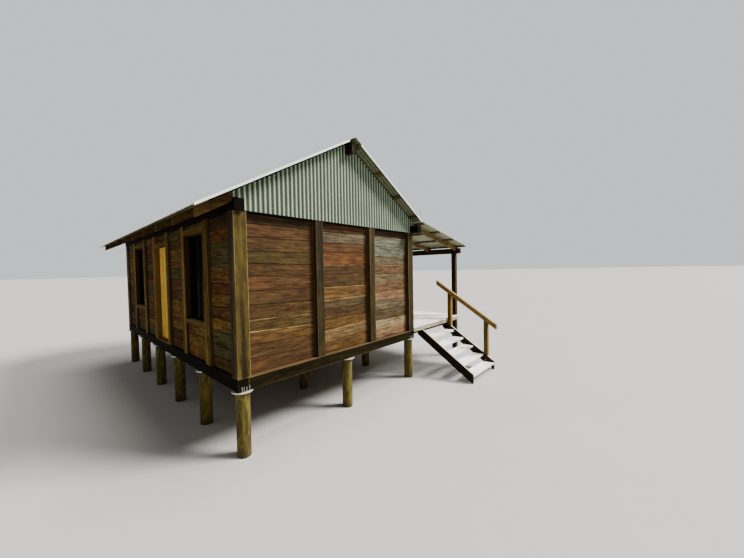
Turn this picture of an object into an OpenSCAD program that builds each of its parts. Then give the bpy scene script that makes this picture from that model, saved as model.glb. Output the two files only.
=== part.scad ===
// Slab cabin on timber stumps, with a verandah, a deck and an open stair.
// Millimetres. X runs across the gable towards the verandah, Y along the eaves, Z up from the ground.
// Inside the modules x = 0 is the door wall's outer face and y = 0 the near gable's outer face.

/* [House] */
// Width across the gable, over the posts
house_width = 4230; // [3800:10:4800]
// Length along the eaves, over the posts
house_length = 7030; // [6800:10:8200]
// Ground to the underside of the sills
ground_clearance = 920; // [800:10:1400]
// Underside of the sills to the underside of the top plates
wall_top = 2440; // [2350:10:2700]
// Side of a square corner post
corner_post = 185; // [150:5:220]
// Width of a post in a gable wall
gable_post = 150; // [120:5:180]
// Width of a post beside a window
window_post = 190; // [140:5:220]
// Width of a post beside a door
door_post = 170; // [140:5:200]
// Depth of the wall posts, outside to inside
post_depth = 150; // [130:5:180]

/* [Wall panels] */
// Thickness of the stacked slabs
slab_thickness = 50; // [35:1:60]
// How far the slabs stand back in a gable wall
gable_recess = 85; // [40:1:90]
// How far the slabs stand back in a long wall
side_recess = 38; // [25:1:60]
// Gap between a panel and the timber round it
panel_gap = 2; // [1:0.5:5]
// Side of the square stop bead beside a panel
stop_bead = 22; // [15:1:30]

/* [Sills, plates and floor] */
// Depth of the sills
sill_depth = 180; // [150:5:220]
// Depth of the top plates
plate_depth = 160; // [120:5:180]
// Width of the top plates
plate_width = 140; // [110:5:150]
// How far the plate over the door wall passes the near gable
plate_projection = 50; // [20:5:120]
// How far the verandah side's plate passes the near gable
verandah_plate_projection = 230; // [100:5:260]
// Thickness of the floor boards
floor_thickness = 22; // [18:1:30]
// Depth of the floor joists
joist_depth = 80; // [70:5:100]
// Number of floor joists
joist_count = 13; // [9:1:17]

/* [Stumps] */
// Diameter of a stump
stump_diameter = 200; // [150:5:240]
// Diameter of the metal cap on a stump
cap_diameter = 285; // [250:5:320]
// Height of the cap's turned-down edge
cap_edge = 14; // [8:1:25]
// Thickness of the cap
cap_thickness = 2; // [1:0.5:3]
// Rows of stumps along the house
stump_rows = 6; // [3:1:8]

/* [Windows] */
// Clear width between the window's posts
window_width = 880; // [700:10:1000]
// Top of the window sill above the underside of the house sills
window_sill = 810; // [700:10:1000]
// Underside of the window head, from the same level
window_head = 2276; // [2000:4:2300]
// Middle of each window from the middle of the wall
window_offset = 1955; // [1800:5:2000]
// Depth of the head board
head_board = 94; // [60:2:110]
// Depth of the sill board
sill_board = 60; // [40:2:80]
// Width of the frame round the glass
sash_width = 42; // [30:1:60]
// Thickness of that frame
sash_thickness = 40; // [30:1:45]
// Thickness of the glass
glass_thickness = 5; // [4:1:8]

/* [Doors] */
// Clear width between the door's posts
door_width = 785; // [720:5:900]
// Underside of the door head above the underside of the house sills
door_head = 2190; // [2050:10:2250]
// Thickness of the leaf
leaf_thickness = 40; // [35:1:45]
// How far the leaf stands back from the posts' outer face
leaf_recess = 85; // [60:1:95]
// Gap between the leaf and its hinge post
hinge_gap = 12; // [12:1:16]
// Gap round the leaf's other edges
leaf_gap = 8; // [7:1:12]
// Thickness of the threshold board
threshold = 30; // [24:1:40]
// Diameter of the knob
knob_diameter = 52; // [44:2:60]
// Height of the knob above the threshold
knob_height = 950; // [850:10:1050]

/* [Roof] */
// Pitch of the main roof in degrees
roof_pitch = 30; // [24:0.5:34]
// How far the sheets pass each gable
gable_overhang = 240; // [150:10:300]
// How far the sheets pass the door wall
eave_overhang = 546; // [400:2:650]
// How far the rafters pass the door wall
rafter_tail = 460; // [350:5:520]
// Depth of a rafter
rafter_depth = 110; // [90:5:140]
// Thickness of a rafter
rafter_width = 45; // [38:1:60]
// Number of rafters
rafter_count = 9; // [7:1:12]
// How far the notch over a plate cuts up into a rafter
rafter_seat = 45; // [20:1:55]
// Width of a roof batten
batten_width = 75; // [50:1:90]
// Thickness of a roof batten
batten_depth = 25; // [20:1:45]
// Depth of the ridge beam
ridge_depth = 190; // [150:5:220]
// Thickness of the ridge beam
ridge_width = 75; // [45:5:90]

/* [Corrugated sheets] */
// Spacing of the corrugations
corrugation = 76; // [70:1:90]
// Height of the corrugations
corrugation_depth = 17; // [14:1:20]
// Thickness of the steel
sheet_thickness = 1.2; // [0.6:0.2:2]

/* [Verandah] */
// Wall to the outer face of the verandah posts
verandah_width = 2360; // [1800:10:2600]
// Pitch of the verandah roof in degrees
verandah_pitch = 11; // [7:0.5:13]
// How far its sheets pass the posts
verandah_overhang = 50; // [40:5:250]
// Side of a verandah post
verandah_post = 120; // [90:5:140]
// Depth of the verandah beam
beam_depth = 150; // [100:5:180]
// Depth of a verandah rafter
verandah_rafter_depth = 100; // [80:5:120]
// Number of verandah posts
verandah_post_count = 4; // [3:1:5]
// Underside of the house sills to the top of the deck
deck_level = 255; // [200:5:300]
// Thickness of the deck boards
deck_thickness = 32; // [25:1:40]
// Depth of the deck joists
deck_joist_depth = 90; // [80:5:110]
// Thickness of the deck joists and bearers
deck_timber = 45; // [35:1:60]
// Depth of the deck bearers
deck_bearer_depth = 100; // [80:5:140]

/* [Stair] */
// Wall to the inner stringer
stair_offset = 400; // [100:10:500]
// Width between the stringers
stair_width = 1220; // [900:5:1500]
// Number of treads
tread_count = 5; // [4:1:6]
// Height from tread to tread
rise = 175; // [160:1:190]
// Distance from tread to tread
going = 262; // [240:1:290]
// Depth of a tread, front to back
tread_depth = 270; // [230:5:290]
// Thickness of a tread
tread_thickness = 45; // [32:1:55]
// Depth of a stringer, square to its slope
stringer_depth = 190; // [150:5:220]
// Thickness of a stringer
stringer_width = 45; // [38:1:60]
// Side of a handrail post
rail_post = 100; // [75:5:110]
// Width of the handrail
rail_width = 90; // [70:5:100]
// Depth of the handrail
rail_depth = 110; // [45:5:120]
// Height of the handrail's top above the stringer's edge
rail_height = 950; // [850:10:1050]

/* [Hidden] */
// Facets of a round solid
$fn = 64;
// Extra reach of a cut past the face it opens
cut_past = 1;
// Underside and top of the sills
sill_z = ground_clearance;
sill_top = sill_z + sill_depth;
// Underside and top of the plates
plate_z = sill_z + wall_top;
plate_top = plate_z + plate_depth;
// Top of the floor boards
floor_top = sill_top + floor_thickness;
// Width of the bearer under the floor, and of the floor joists
bearer_width = 100;
joist_width = 45;
// Top of the stumps, under their caps
stump_top = sill_z - cap_thickness;
// Space between a stump and the sills' outer face
stump_edge = 5;
// Underside of the rafters at the wall's outer face
rafter_z = plate_top - rafter_seat;
// Plumb depths of a rafter, a batten and the sheets
rafter_plumb = rafter_depth / cos(roof_pitch);
batten_plumb = batten_depth / cos(roof_pitch);
sheet_depth = corrugation_depth + sheet_thickness;
sheet_plumb = sheet_depth / cos(roof_pitch);
// The ridge's line and its height over the walls' outer faces
ridge_x = house_width / 2;
ridge_rise = ridge_x * tan(roof_pitch);
// Top of the rafters and underside of the sheets at the wall's outer face
rafter_top_z = rafter_z + rafter_plumb;
sheet_z = rafter_top_z + batten_plumb;
// Length of the roof, and how far the ridge beam's ends stand back from the sheets'
roof_length = house_length + 2 * gable_overhang;
ridge_setback = 60;
// How far the battens' ends stand back from the sheets'
batten_setback = 12;
// Battens of a slope: first one from the ridge, last one from the wall's face, and how many
batten_top = 140;
batten_wall = 155;
batten_count = 4;
// Last batten over the door wall's rafter tails, from the tails' ends
batten_tail = 45;
// How far the main sheets pass the verandah wall
verandah_eave = 30;
// The verandah sheets nest under the main sheets: the lap, and the gap between them
tuck_lap = 35;
tuck_gap = 6;
verandah_sheet_x = house_width + verandah_eave - tuck_lap;
verandah_sheet_end = house_width + verandah_width + verandah_overhang;
// Underside of the main sheets at their lower edge, and of the verandah sheets at their upper edge
main_eave_z = sheet_z - verandah_eave * tan(roof_pitch);
nest_z = main_eave_z - tuck_gap - sheet_thickness / cos(verandah_pitch);
verandah_slope_z = nest_z + tuck_lap * tan(verandah_pitch);
// Plumb depths of the verandah's battens and rafters
verandah_batten_plumb = batten_depth / cos(verandah_pitch);
verandah_rafter_plumb = verandah_rafter_depth / cos(verandah_pitch);
// Verandah battens: the first one's distance from the wall, and how many there are
verandah_batten_x = 130;
verandah_batten_count = 4;
// Inner and outer face of the verandah posts
post_x1 = house_width + verandah_width;
post_x0 = post_x1 - verandah_post;
// How far the beam's top is let into the verandah rafters
beam_seat = 60;
beam_top = verandah_line(post_x0) - verandah_batten_plumb - verandah_rafter_plumb + beam_seat;
beam_z = beam_top - beam_depth;
// How far the beam passes the gables
beam_projection = 90;
// Levels of the deck
deck_top = sill_z + deck_level;
deck_z = deck_top - deck_thickness;
deck_joist_z = deck_z - deck_joist_depth;
deck_bearer_z = deck_joist_z - deck_bearer_depth;
// How far the deck passes the posts' outer faces, and its gap to the wall and round the posts
deck_overhang = 10;
deck_x1 = post_x1 + deck_overhang;
deck_gap = 3;
// Thickness of the deck's rims across its ends
rim_width = 35;
// Rows of joists under the deck
deck_joist_count = 4;
// Thickness of the folded strips and of the ridge cap
strip_thickness = 2;
// Slope of the stair and plumb depth of its stringers
stair_pitch = atan(rise / going);
stringer_plumb = stringer_depth / cos(stair_pitch);
// Front edge of the top tread from the gable's line, and its level under the sills
tread_front = 190;
tread_drop = 50;
// How far the stringers' feet stand behind the last tread's front edge
foot_setback = 3;
stringer_foot_y = tread_y(tread_count - 1) + foot_setback;
// Shortest flat under a stringer's foot
stringer_toe = 20;
// Height of the stringers' upper edge at the gable's line, under the deck's rim
stringer_drop = 18;
stringer_top_z = deck_joist_z - stringer_drop;
// Inner and outer stringer
stair_x0 = house_width + stair_offset;
stair_x1 = stair_x0 + stringer_width + stair_width;
// Width of a bay between two gable posts
gable_bay = (house_width - 2 * corner_post - 2 * gable_post) / 3;
// Middles of the windows, and the doorway's sides
mid_y = house_length / 2;
window_ys = [mid_y - window_offset, mid_y + window_offset];
door_y0 = mid_y - door_width / 2;
door_y1 = mid_y + door_width / 2;
// Top of each door's threshold: over the sill, and on the verandah over the deck
threshold_top = sill_top + threshold;
deck_threshold_top = deck_top + threshold;
// Small gaps between two pieces that rest on each other, flat and on a slope
seat_gap = 0.3;
slope_gap = 0.1;
// The frame's origin: the middle of everything, on the ground
eave_tip = eave_overhang + sheet_depth * sin(roof_pitch);
verandah_tip = verandah_sheet_end + sheet_depth * sin(verandah_pitch);
origin_x = (verandah_tip - eave_tip) / 2;
origin_y = (house_length + gable_overhang + strip_thickness + tread_y(tread_count - 1)) / 2;

// Names of the pieces
// Piece to draw, or all

// Moves the house's corner frame to the shared origin
module placed() {
    translate([-origin_x, -origin_y, 0])
        children();
}

// A box between two corners
module block(x0, x1, y0, y1, z0, z1) {
    translate([x0, y0, z0])
        cube([x1 - x0, y1 - y0, z1 - z0]);
}

// A profile drawn in X and Z, given a thickness along Y
module across(y0, thickness) {
    translate([0, y0 + thickness, 0])
        rotate([90, 0, 0])
            linear_extrude(height = thickness)
                children();
}

// A profile drawn in Y and Z, given a thickness along X
module along(x0, thickness) {
    translate([x0, 0, 0])
        rotate([90, 0, 90])
            linear_extrude(height = thickness)
                children();
}

// The same piece on the other long wall
module other_side() {
    translate([house_width, 0, 0])
        mirror([1, 0, 0])
            children();
}

// The same piece on the other gable
module other_end() {
    translate([0, house_length, 0])
        mirror([0, 1, 0])
            children();
}

// A roof plane's own frame: first axis along the eave, second square to the roof, third up a left slope
module slope_frame(x, z, pitch) {
    translate([x, 0, z])
        multmatrix([
            [0, -sin(pitch), cos(pitch), 0],
            [1, 0, 0, 0],
            [0, cos(pitch), sin(pitch), 0],
            [0, 0, 0, 1]])
            children();
}

// Height of a corrugation's surface at a step along it, six steps to a wave
function wave(step) = corrugation_depth / 2 * (1 + sin(60 * step + 30));

// Section of a corrugated sheet with its lower face on the first axis
module corrugated_section(width) {
    waves = round(width / corrugation);
    stretch = width / (waves * 6);
    steps = [for (i = [0 : waves * 6]) i];
    upper = [for (i = steps) [i * stretch, wave(i) + sheet_thickness]];
    lower = [for (i = steps) [(waves * 6 - i) * stretch, wave(waves * 6 - i)]];
    polygon(concat(upper, lower));
}

// Height of the verandah sheets' lower face
function verandah_line(x) = verandah_slope_z - (x - verandah_sheet_x) * tan(verandah_pitch);

// Stations of the stumps across and along the house
stump_inset = stump_diameter / 2 + stump_edge;
stump_xs = [stump_inset, ridge_x, house_width - stump_inset];
function stump_y(row) = stump_inset + row * (house_length - 2 * stump_inset) / (stump_rows - 1);

module stumps() {
    color("tan")
        placed()
            for (x = stump_xs)
                for (row = [0 : stump_rows - 1])
                    translate([x, stump_y(row), 0])
                        cylinder(h = stump_top, d = stump_diameter);
}

// A dished metal cap: a flat disc with a turned-down edge
module ant_cap() {
    translate([0, 0, stump_top])
        cylinder(h = cap_thickness, d = cap_diameter);
    translate([0, 0, stump_top - cap_edge])
        difference() {
            cylinder(h = cap_edge + cap_thickness, d = cap_diameter);
            translate([0, 0, -cut_past])
                cylinder(h = cap_edge + cut_past, d = cap_diameter - 2 * cap_thickness);
        }
}

module ant_caps() {
    color("gainsboro")
        placed()
            for (x = stump_xs)
                for (row = [0 : stump_rows - 1])
                    translate([x, stump_y(row), 0])
                        ant_cap();
}

module side_sills() {
    color("saddlebrown")
        placed() {
            block(0, post_depth, 0, house_length, sill_z, sill_top);
            other_side()
                block(0, post_depth, 0, house_length, sill_z, sill_top);
        }
}

module end_sills() {
    color("saddlebrown")
        placed() {
            block(post_depth, house_width - post_depth, 0, post_depth, sill_z, sill_top);
            other_end()
                block(post_depth, house_width - post_depth, 0, post_depth, sill_z, sill_top);
        }
}

module floor_bearer() {
    color("saddlebrown")
        placed()
            block(ridge_x - bearer_width / 2, ridge_x + bearer_width / 2,
                post_depth, house_length - post_depth, sill_z, sill_top - joist_depth);
}

// Start of a floor joist along the house
function joist_y(i) = post_depth + i * (house_length - 2 * post_depth) / (joist_count + 1) - joist_width / 2;

module floor_joists() {
    color("peru")
        placed()
            for (i = [1 : joist_count])
                block(post_depth, house_width - post_depth, joist_y(i), joist_y(i) + joist_width,
                    sill_top - joist_depth, sill_top);
}

module floor_boards() {
    color("burlywood")
        placed()
            block(corner_post + panel_gap, house_width - corner_post - panel_gap,
                corner_post + panel_gap, house_length - corner_post - panel_gap, sill_top, floor_top);
}

module corner_posts() {
    color("darkkhaki")
        placed()
            for (x = [0, house_width - corner_post])
                for (y = [0, house_length - corner_post])
                    block(x, x + corner_post, y, y + corner_post, sill_top, plate_z);
}

// Start of a gable wall's post, first or second
function gable_post_x(i) = corner_post + i * gable_bay + (i - 1) * gable_post;

module near_gable_posts() {
    for (i = [1, 2])
        block(gable_post_x(i), gable_post_x(i) + gable_post, 0, post_depth, sill_top, plate_z);
}

module gable_posts() {
    color("saddlebrown")
        placed() {
            near_gable_posts();
            other_end()
                near_gable_posts();
        }
}

// Posts of the door wall: two to each window and two to the door
module left_posts() {
    for (y = window_ys) {
        block(0, post_depth, y - window_width / 2 - window_post, y - window_width / 2, sill_top, plate_z);
        block(0, post_depth, y + window_width / 2, y + window_width / 2 + window_post, sill_top, plate_z);
    }
    block(0, post_depth, door_y0 - door_post, door_y0, sill_top, plate_z);
    block(0, post_depth, door_y1, door_y1 + door_post, sill_top, plate_z);
}

module side_posts() {
    color("sienna")
        placed() {
            left_posts();
            other_side()
                left_posts();
        }
}

// Stacked slabs of the near gable: a panel in each of the three bays
module near_gable_slabs() {
    for (i = [0, 1, 2])
        block(gable_bay_x(i) + panel_gap, gable_bay_x(i) + gable_bay - panel_gap,
            gable_recess, gable_recess + slab_thickness, sill_top, plate_z);
}

function gable_bay_x(i) = corner_post + i * (gable_bay + gable_post);

module gable_slabs() {
    color("sienna")
        placed() {
            near_gable_slabs();
            other_end()
                near_gable_slabs();
        }
}

// A panel of the door wall between two stations and two levels
module side_panel(y0, y1, z0, z1) {
    block(side_recess, side_recess + slab_thickness, y0 + panel_gap, y1 - panel_gap, z0, z1);
}

// The whole bays of the door wall, near to far
side_bays = [
    [corner_post, window_ys[0] - window_width / 2 - window_post],
    [window_ys[0] + window_width / 2 + window_post, door_y0 - door_post],
    [door_y1 + door_post, window_ys[1] - window_width / 2 - window_post],
    [window_ys[1] + window_width / 2 + window_post, house_length - corner_post]];

module left_slabs() {
    for (bay = side_bays)
        side_panel(bay[0], bay[1], sill_top, plate_z);
    for (y = window_ys) {
        side_panel(y - window_width / 2, y + window_width / 2, sill_top, sill_z + window_sill - sill_board);
        side_panel(y - window_width / 2, y + window_width / 2, sill_z + window_head + head_board, plate_z);
    }
    side_panel(door_y0, door_y1, sill_z + door_head + head_board, plate_z);
}

module side_slabs_left() {
    color("sienna")
        placed()
            left_slabs();
}

module side_slabs_right() {
    color("sienna")
        placed()
            other_side()
                left_slabs();
}

// Stop beads in front of the slabs, at both sides of a bay
module near_gable_stops() {
    for (i = [0, 1, 2])
        for (x = [gable_bay_x(i), gable_bay_x(i) + gable_bay - stop_bead])
            block(x, x + stop_bead, gable_recess - stop_bead, gable_recess, sill_top, plate_z);
}

module left_stops() {
    for (bay = side_bays)
        for (y = [bay[0], bay[1] - stop_bead])
            block(side_recess - stop_bead, side_recess, y, y + stop_bead, sill_top, plate_z);
}

module slab_stops() {
    color("tan")
        placed() {
            near_gable_stops();
            other_end()
                near_gable_stops();
            left_stops();
            other_side()
                left_stops();
        }
}

module side_plates() {
    color("saddlebrown")
        placed() {
            block(0, plate_width, -plate_projection, house_length + plate_projection, plate_z, plate_top);
            block(house_width - plate_width, house_width, -verandah_plate_projection,
                house_length + verandah_plate_projection, plate_z, plate_top);
        }
}

module end_plates() {
    color("saddlebrown")
        placed() {
            block(plate_width, house_width - plate_width, 0, post_depth, plate_z, plate_top);
            other_end()
                block(plate_width, house_width - plate_width, 0, post_depth, plate_z, plate_top);
        }
}

// Head and sill boards of the door wall's windows
module left_window_boards() {
    for (y = window_ys) {
        block(0, leaf_recess + sash_thickness, y - window_width / 2, y + window_width / 2,
            sill_z + window_head, sill_z + window_head + head_board);
        block(0, leaf_recess + sash_thickness, y - window_width / 2, y + window_width / 2,
            sill_z + window_sill - sill_board, sill_z + window_sill);
    }
}

module window_boards() {
    color("darkkhaki")
        placed() {
            left_window_boards();
            other_side()
                left_window_boards();
        }
}

// Thin frames round the glass
module left_window_frames() {
    for (y = window_ys)
        difference() {
            block(leaf_recess, leaf_recess + sash_thickness, y - window_width / 2, y + window_width / 2,
                sill_z + window_sill, sill_z + window_head);
            block(leaf_recess - cut_past, leaf_recess + sash_thickness + cut_past,
                y - window_width / 2 + sash_width, y + window_width / 2 - sash_width,
                sill_z + window_sill + sash_width, sill_z + window_head - sash_width);
        }
}

module window_frames() {
    color("dimgray")
        placed() {
            left_window_frames();
            other_side()
                left_window_frames();
        }
}

module left_window_glass() {
    glass_x = leaf_recess + (sash_thickness - glass_thickness) / 2;
    for (y = window_ys)
        block(glass_x, glass_x + glass_thickness,
            y - window_width / 2 + sash_width, y + window_width / 2 - sash_width,
            sill_z + window_sill + sash_width, sill_z + window_head - sash_width);
}

module window_glass() {
    color("black")
        placed() {
            left_window_glass();
            other_side()
                left_window_glass();
        }
}

// Head board and threshold of a doorway
module left_door_boards(top) {
    block(0, post_depth, door_y0, door_y1, sill_z + door_head, sill_z + door_head + head_board);
    block(0, post_depth, door_y0, door_y1, sill_top, top);
}

module door_boards() {
    color("darkkhaki")
        placed() {
            left_door_boards(threshold_top);
            other_side()
                left_door_boards(deck_threshold_top);
        }
}

// Leaf of the door, closed
leaf_z0 = threshold_top + leaf_gap;
leaf_z1 = sill_z + door_head - leaf_gap;
leaf_y1 = door_y1 - hinge_gap;
module door_leaf() {
    color("goldenrod")
        placed()
            block(leaf_recess, leaf_recess + leaf_thickness, door_y0 + leaf_gap, leaf_y1, leaf_z0, leaf_z1);
}

// Knob on a rose and a neck: its height out of the leaf, and its middle's place on the leaf
knob_length = 55;
knob_inset = 70;
knob_y = door_y0 + leaf_gap + knob_inset;
rose_thickness = 4;
rose_slope = 2;
neck_radius = 9;
neck_length = 22;
// Widths of the knob behind and before its widest part, as shares of its radius
knob_back = 0.75;
knob_front = 0.8;
// Where they lie along it, as shares of half its length
knob_back_at = 0.25;
knob_front_at = 1.7;
module knob() {
    radius = knob_diameter / 2;
    half = (knob_length - neck_length) / 2;
    translate([leaf_recess + leaf_thickness, knob_y, 0])
        rotate([0, 90, 0])
            rotate_extrude()
                polygon([[0, 0], [radius, 0], [radius, rose_thickness],
                    [neck_radius, rose_thickness + rose_slope], [neck_radius, neck_length],
                    [knob_back * radius, neck_length + knob_back_at * half], [radius, neck_length + half],
                    [knob_front * radius, neck_length + knob_front_at * half], [0, knob_length]]);
}

module both_knobs(top) {
    translate([0, 0, top + knob_height]) {
        knob();
        translate([2 * leaf_recess + leaf_thickness, 0, 0])
            mirror([1, 0, 0])
                knob();
    }
}

// Hinges on the leaf's inner face: knuckles on a pin, plates on the leaf and on the post
knuckle_radius = 6;
knuckle_space = 2;
pin_radius = 3;
pin_clearance = 0.08;
hinge_length = 100;
end_knuckle = 30;
knuckle_slack = 1;
hinge_plate = 3;
plate_reach = 60;
hinge_inset = 180;
hinge_x = leaf_recess + leaf_thickness + knuckle_radius + knuckle_space;
hinge_zs = [leaf_z0 + hinge_inset, leaf_z1 - hinge_inset - hinge_length];

module leaf_hinge() {
    difference() {
        union() {
            translate([hinge_x, leaf_y1, 0])
                cylinder(h = hinge_length, r = knuckle_radius);
            block(leaf_recess + leaf_thickness, hinge_x, leaf_y1 - plate_reach, leaf_y1, 0, hinge_length);
        }
        block(leaf_recess + leaf_thickness + hinge_plate, hinge_x + knuckle_radius,
            leaf_y1 - plate_reach - cut_past, leaf_y1 - knuckle_radius - knuckle_space,
            -cut_past, hinge_length + cut_past);
        translate([hinge_x, leaf_y1, -cut_past])
            cylinder(h = hinge_length + 2 * cut_past, r = pin_radius + pin_clearance);
    }
}

// Knuckle above or below the leaf's, with its arm to the plate on the post
module post_knuckle() {
    translate([hinge_x, leaf_y1, 0])
        cylinder(h = end_knuckle, r = knuckle_radius);
    block(hinge_x - hinge_plate / 2, hinge_x + hinge_plate / 2, leaf_y1, door_y1, 0, end_knuckle);
}

module post_hinge() {
    reach = end_knuckle + knuckle_slack;
    translate([0, 0, -reach])
        post_knuckle();
    translate([0, 0, hinge_length + knuckle_slack])
        post_knuckle();
    translate([hinge_x, leaf_y1, -reach])
        cylinder(h = hinge_length + 2 * reach, r = pin_radius);
    block(hinge_x - knuckle_radius * 2, hinge_x + knuckle_radius * 2, door_y1 - hinge_plate, door_y1,
        -reach, hinge_length + reach);
}

module door_hinges() {
    color("silver")
        placed()
            for (z = hinge_zs)
                translate([0, 0, z])
                    post_hinge();
}

module door_fittings() {
    color("silver")
        placed() {
            both_knobs(threshold_top);
            for (z = hinge_zs)
                translate([0, 0, z])
                    leaf_hinge();
        }
}

// Shut leaf on the verandah side, resting on its threshold
module verandah_door() {
    color("goldenrod")
        placed()
            other_side() {
                block(leaf_recess, leaf_recess + leaf_thickness, door_y0 + leaf_gap, door_y1 - leaf_gap,
                    deck_threshold_top + seat_gap, leaf_z1);
                both_knobs(deck_threshold_top);
            }
}

// Start of a rafter along the house
function rafter_y(i) = i * (house_length - rafter_width) / (rafter_count - 1);
// Heights of a rafter's underside and of its upper edge, under the battens
function under(x) = rafter_z + x * tan(roof_pitch);
function rafter_top(x) = rafter_top_z + x * tan(roof_pitch);

// Rafter of the door wall's slope, notched over the plate and cut plumb at both ends
module rafter_profile(tail) {
    inner = ridge_x - ridge_width / 2;
    seat = rafter_seat / tan(roof_pitch);
    outer = tail > 0 ? [[-tail, under(-tail)], [0, under(0)]] : [];
    polygon(concat(outer, [[0, plate_top], [seat, plate_top], [inner, under(inner)],
        [inner, rafter_top(inner) - slope_gap], [-tail, rafter_top(-tail) - slope_gap]]));
}

module rafters() {
    color("peru")
        placed()
            for (i = [0 : rafter_count - 1]) {
                across(rafter_y(i), rafter_width)
                    rafter_profile(rafter_tail);
                other_side()
                    across(rafter_y(i), rafter_width)
                        rafter_profile(0);
            }
}

// Upper edge of the ridge beam, level with the rafters' upper ends
ridge_top = rafter_top(ridge_x - ridge_width / 2);

module ridge_beam() {
    color("saddlebrown")
        placed()
            block(ridge_x - ridge_width / 2, ridge_x + ridge_width / 2, ridge_setback - gable_overhang,
                house_length + gable_overhang - ridge_setback, ridge_top - ridge_depth, ridge_top);
}

// Middles of a slope's battens, down from the ridge
batten_step = (ridge_x - batten_top - batten_wall) / (batten_count - 1);
slope_battens = [for (i = [0 : batten_count - 1]) ridge_x - batten_top - i * batten_step];

module battens(stations) {
    for (x = stations)
        slope_frame(x, rafter_top(x), roof_pitch)
            translate([batten_setback - gable_overhang, 0, -batten_width / 2])
                cube([roof_length - 2 * batten_setback, batten_depth, batten_width]);
}

module roof_battens() {
    color("peru")
        placed() {
            battens(concat(slope_battens, [batten_tail - rafter_tail]));
            other_side()
                battens(slope_battens);
        }
}

// Sheets of a slope from a distance outside the wall up to the ridge
ridge_space = 4;
module slope_sheets(overhang) {
    slope_frame(-overhang, sheet_z - overhang * tan(roof_pitch), roof_pitch)
        translate([-gable_overhang, 0, 0])
            linear_extrude(height = (ridge_x - ridge_space + overhang) / cos(roof_pitch))
                corrugated_section(roof_length);
}

module roof_sheet_left() {
    color("lightgray")
        placed()
            slope_sheets(eave_overhang);
}

module roof_sheet_right() {
    color("lightgray")
        placed()
            other_side()
                slope_sheets(verandah_eave);
}

// Height of the sheets' upper face
function sheet_top(x) = sheet_z + sheet_plumb + x * tan(roof_pitch);

// Folded cap over the ridge
cap_leg = 150;
module ridge_cap() {
    foot = sheet_top(ridge_x - cap_leg);
    top = sheet_top(ridge_x);
    color("lightgray")
        placed()
            across(-gable_overhang, roof_length)
                polygon([[ridge_x - cap_leg, foot], [ridge_x, top], [ridge_x + cap_leg, foot],
                    [ridge_x + cap_leg, foot + strip_thickness], [ridge_x, top + strip_thickness],
                    [ridge_x - cap_leg, foot + strip_thickness]]);
}

// Outline of a gable's cladding: the slopes, notched for the plates' and the ridge beam's ends
cladding_lift = 10;
cladding_gap = 2;
cladding_reach = 40;
module cladding_outline() {
    low = plate_z + cladding_lift;
    notch_x = plate_width + cladding_gap;
    notch_z = plate_top + cladding_gap;
    beam_x0 = ridge_x - ridge_width / 2 - cladding_gap;
    beam_x1 = ridge_x + ridge_width / 2 + cladding_gap;
    beam_notch = ridge_top - ridge_depth - cladding_gap;
    slope = -cladding_gap * 2;
    polygon([[notch_x, low], [house_width - notch_x, low], [house_width - notch_x, notch_z],
        [house_width - cladding_gap, notch_z],
        [house_width - cladding_gap, rafter_top(cladding_gap) + slope],
        [beam_x1, rafter_top(beam_x0) + slope], [beam_x1, beam_notch], [beam_x0, beam_notch],
        [beam_x0, rafter_top(beam_x0) + slope], [cladding_gap, rafter_top(cladding_gap) + slope],
        [cladding_gap, notch_z], [notch_x, notch_z]]);
}

// Corrugated cladding of the near gable, set over the end rafter
module near_gable_sheet() {
    intersection() {
        translate([0, 0, plate_z])
            linear_extrude(height = sheet_top(ridge_x) - plate_z)
                mirror([0, 1])
                    corrugated_section(house_width);
        across(-cladding_reach, cladding_reach)
            cladding_outline();
    }
}

module gable_sheets() {
    color("lightgray")
        placed() {
            near_gable_sheet();
            other_end()
                near_gable_sheet();
        }
}

// Strips folded down over the sheets' edges at the gables
strip_drop = 34;
module near_barge(overhang) {
    x1 = ridge_x - cap_leg;
    across(-gable_overhang - strip_thickness, strip_thickness)
        polygon([[-overhang, sheet_top(-overhang)], [x1, sheet_top(x1)], [x1, sheet_top(x1) - strip_drop],
            [-overhang, sheet_top(-overhang) - strip_drop]]);
}

module barge_flashings() {
    color("whitesmoke")
        placed()
            for (end = [0, 1])
                translate([0, end * house_length, 0])
                    mirror([0, end, 0]) {
                        near_barge(eave_overhang);
                        other_side()
                            near_barge(verandah_eave);
                    }
}

// Start of a verandah post along the house, inside the deck's rims
post_step = (house_length - 2 * rim_width - verandah_post) / (verandah_post_count - 1);
function verandah_post_y(i) = rim_width + i * post_step;

module verandah_posts() {
    color("saddlebrown")
        placed()
            for (i = [0 : verandah_post_count - 1])
                block(post_x0, post_x1, verandah_post_y(i), verandah_post_y(i) + verandah_post, 0, beam_z);
}

module verandah_beam() {
    color("saddlebrown")
        placed()
            block(post_x0, post_x1, -beam_projection, house_length + beam_projection, beam_z, beam_top);
}

// Height of a verandah rafter's upper edge
function verandah_rafter_top(x) = verandah_line(x) - verandah_batten_plumb;

module verandah_rafter_profile() {
    polygon([[house_width, verandah_rafter_top(house_width) - slope_gap],
        [house_width, verandah_rafter_top(house_width) - verandah_rafter_plumb],
        [post_x0, verandah_rafter_top(post_x0) - verandah_rafter_plumb],
        [post_x0, beam_top], [post_x1, beam_top], [post_x1, verandah_rafter_top(post_x1) - slope_gap]]);
}

module verandah_rafters() {
    color("peru")
        placed()
            for (i = [0 : rafter_count - 1])
                across(rafter_y(i), rafter_width)
                    verandah_rafter_profile();
}

// Middle of a verandah batten, from near the wall to over the beam
verandah_batten_span = verandah_width - verandah_post / 2 - verandah_batten_x;
verandah_batten_step = verandah_batten_span / (verandah_batten_count - 1);
verandah_batten_xs = [for (i = [0 : verandah_batten_count - 1])
    house_width + verandah_batten_x + i * verandah_batten_step];

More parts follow.
